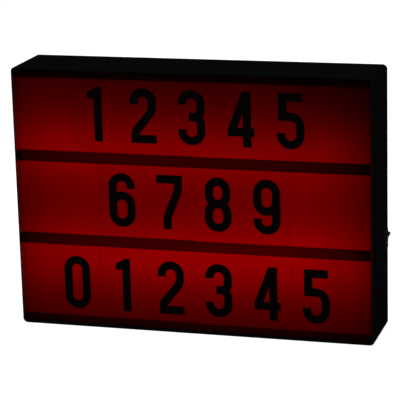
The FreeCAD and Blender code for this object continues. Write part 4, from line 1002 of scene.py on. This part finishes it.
strand_tree, given = new_tree("strands_and_solder", ("Radius", "Bend", "Bead"))
strand = sweep_route(strand_tree, given, 12)
marked = add(strand_tree, "GeometryNodeInputNamedAttribute", {"Name": "soldered"},
             data_type="BOOLEAN")
drop = add(strand_tree, "GeometryNodeMeshIcoSphere", {"Radius": given["Bead"], "Subdivisions": 3})
beads = add(strand_tree, "GeometryNodeInstanceOnPoints",
            {"Points": given["Geometry"], "Selection": marked, "Instance": drop})
metal = add(strand_tree, "GeometryNodeJoinGeometry", [beads])
fill(strand_tree, metal, [strand])
end_tree(strand_tree, metal, tinned)
print("nodes for a strand:", len(strand_tree.nodes))

# %% Lay the leads
LEAD_RADIUS, STRAND_RADIUS = 0.6 * MM, 0.35 * MM
LEAD_BEND, BEAD = 6.0 * MM, 0.95 * MM
sleeve_trees = {material: sleeve_tree(material) for material in (pvc_red, pvc_black)}
for name, (material, bare_start, bare_end, routes) in LEADS.items():
    sizes = {"Bend": LEAD_BEND, "Bead": BEAD, "Bare Start": bare_start * MM,
             "Bare End": bare_end * MM}
    sleeve = grow("sleeve_" + name, route_mesh(routes, bare_start, bare_end),
                  sleeve_trees[material], {**sizes, "Radius": LEAD_RADIUS})
    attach(sleeve, "housing")
    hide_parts("wire_" + name)
    strand = grow("strand_" + name, route_mesh(routes, bare_start, bare_end), strand_tree,
                  {**sizes, "Radius": STRAND_RADIUS})
    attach(strand, "housing")

# %% [markdown]
# ## Stage, light and camera
#
# The box stands on a plain pale surface under soft light. The floor is a matt sheet whose diffuse
# part catches the shadow, topped up by a glow that only the camera and mirror-like rays see, so the
# background is white without any extra light on the box. The world does the same.

# %% Stage
FLOOR_HALF, FLOOR_TONE, FLOOR_GLOW = 3.0, 0.34, 0.82
SKY_SOFT, SKY_SEEN = 0.45, 1.0
WHITE = (1, 1, 1, 1)


def camera_only(tree):
    """One for a ray from the camera, a reflection or through glass, and nought for soft light."""
    path = add(tree, "ShaderNodeLightPath", {})
    rays = [path.outputs["Is %s Ray" % kind] for kind in ("Camera", "Glossy", "Transmission")]
    seen = add(tree, MATH, rays[:2], operation="ADD")
    return add(tree, MATH, [seen, rays[2]], operation="ADD", use_clamp=True)


scene = bpy.context.scene
paper = bpy.data.materials.new("matt_white_paper")
scene.world = bpy.data.worlds.new("studio")
for block in (paper, scene.world):
    block.use_nodes = True
    block.node_tree.nodes.clear()

tree = paper.node_tree
matt = add(tree, "ShaderNodeBsdfDiffuse", {"Color": (FLOOR_TONE, FLOOR_TONE, FLOOR_TONE, 1)})
share = add(tree, MATH, [camera_only(tree), FLOOR_GLOW], operation="MULTIPLY")
lift = add(tree, "ShaderNodeEmission", {"Color": WHITE, "Strength": share})
both = add(tree, "ShaderNodeAddShader", [matt, lift])
add(tree, "ShaderNodeOutputMaterial", {"Surface": both})

tree = scene.world.node_tree
soft = add(tree, RANGE, {"Value": camera_only(tree), "To Min": SKY_SOFT, "To Max": SKY_SEEN})
sky = add(tree, "ShaderNodeBackground", {"Color": WHITE, "Strength": soft})
add(tree, "ShaderNodeOutputWorld", {"Surface": sky})

corners = [(x * FLOOR_HALF, y * FLOOR_HALF, 0) for x, y in ((-1, -1), (1, -1), (1, 1), (-1, 1))]
floor = new_object("floor", new_mesh("floor", corners, faces=[(0, 1, 2, 3)]))
floor.data.materials.append(paper)
floor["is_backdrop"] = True
print("floor of", 2 * FLOOR_HALF, "m")

# %% Lamps
BOX_MIDDLE = Vector((0, 0, 0.11))


def softbox(name, place, size, watts):
    """A square area lamp that faces the middle of the box."""
    lamp = bpy.data.lights.new(name, "AREA")
    lamp.size, lamp.energy = size, watts
    holder = new_object(name, lamp)
    holder.location = place
    holder.rotation_euler = (Vector(place) - BOX_MIDDLE).to_track_quat("Z", "Y").to_euler()
    print(name, "lamp of", watts, "W")


softbox("key", (-0.9, -1.3, 1.5), 1.2, 26)
softbox("fill", (1.4, -0.6, 1.0), 1.4, 12)
softbox("back", (0.3, 1.5, 1.2), 1.4, 16)

# %% [markdown]
# ## Camera
#
# The camera stands 1.6 m away, to the right and above, and looks at the box through a long lens. A
# rotation matrix from its own axes places it exactly.

# %% Camera
EYE = Vector((447.6, -1489.3, 514.6)) * MM
SIDEWAYS = Vector((0.95923, 0.28138, -0.02648))
UPWARDS = Vector((-0.04695, 0.25107, 0.96682))
BACKWARDS = SIDEWAYS.cross(UPWARDS)
camera = new_object("camera", bpy.data.cameras.new("camera"))
turn = Matrix((SIDEWAYS, BACKWARDS.cross(SIDEWAYS), BACKWARDS)).transposed().to_4x4()
camera.matrix_world = Matrix.Translation(EYE) @ turn
camera.data.lens = 176.7
camera.data.sensor_width = 36
camera.data.clip_end = 20
scene.camera = camera
scene.view_settings.view_transform = "Standard"
print("camera at", [round(value, 3) for value in EYE], "m")

# %% Sizes and the end
seen_low, seen_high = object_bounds()
sizes = {"cad": [list(cad_low), list(cad_high)], "visual": [list(seen_low), list(seen_high)]}
print("sizes:", sizes)
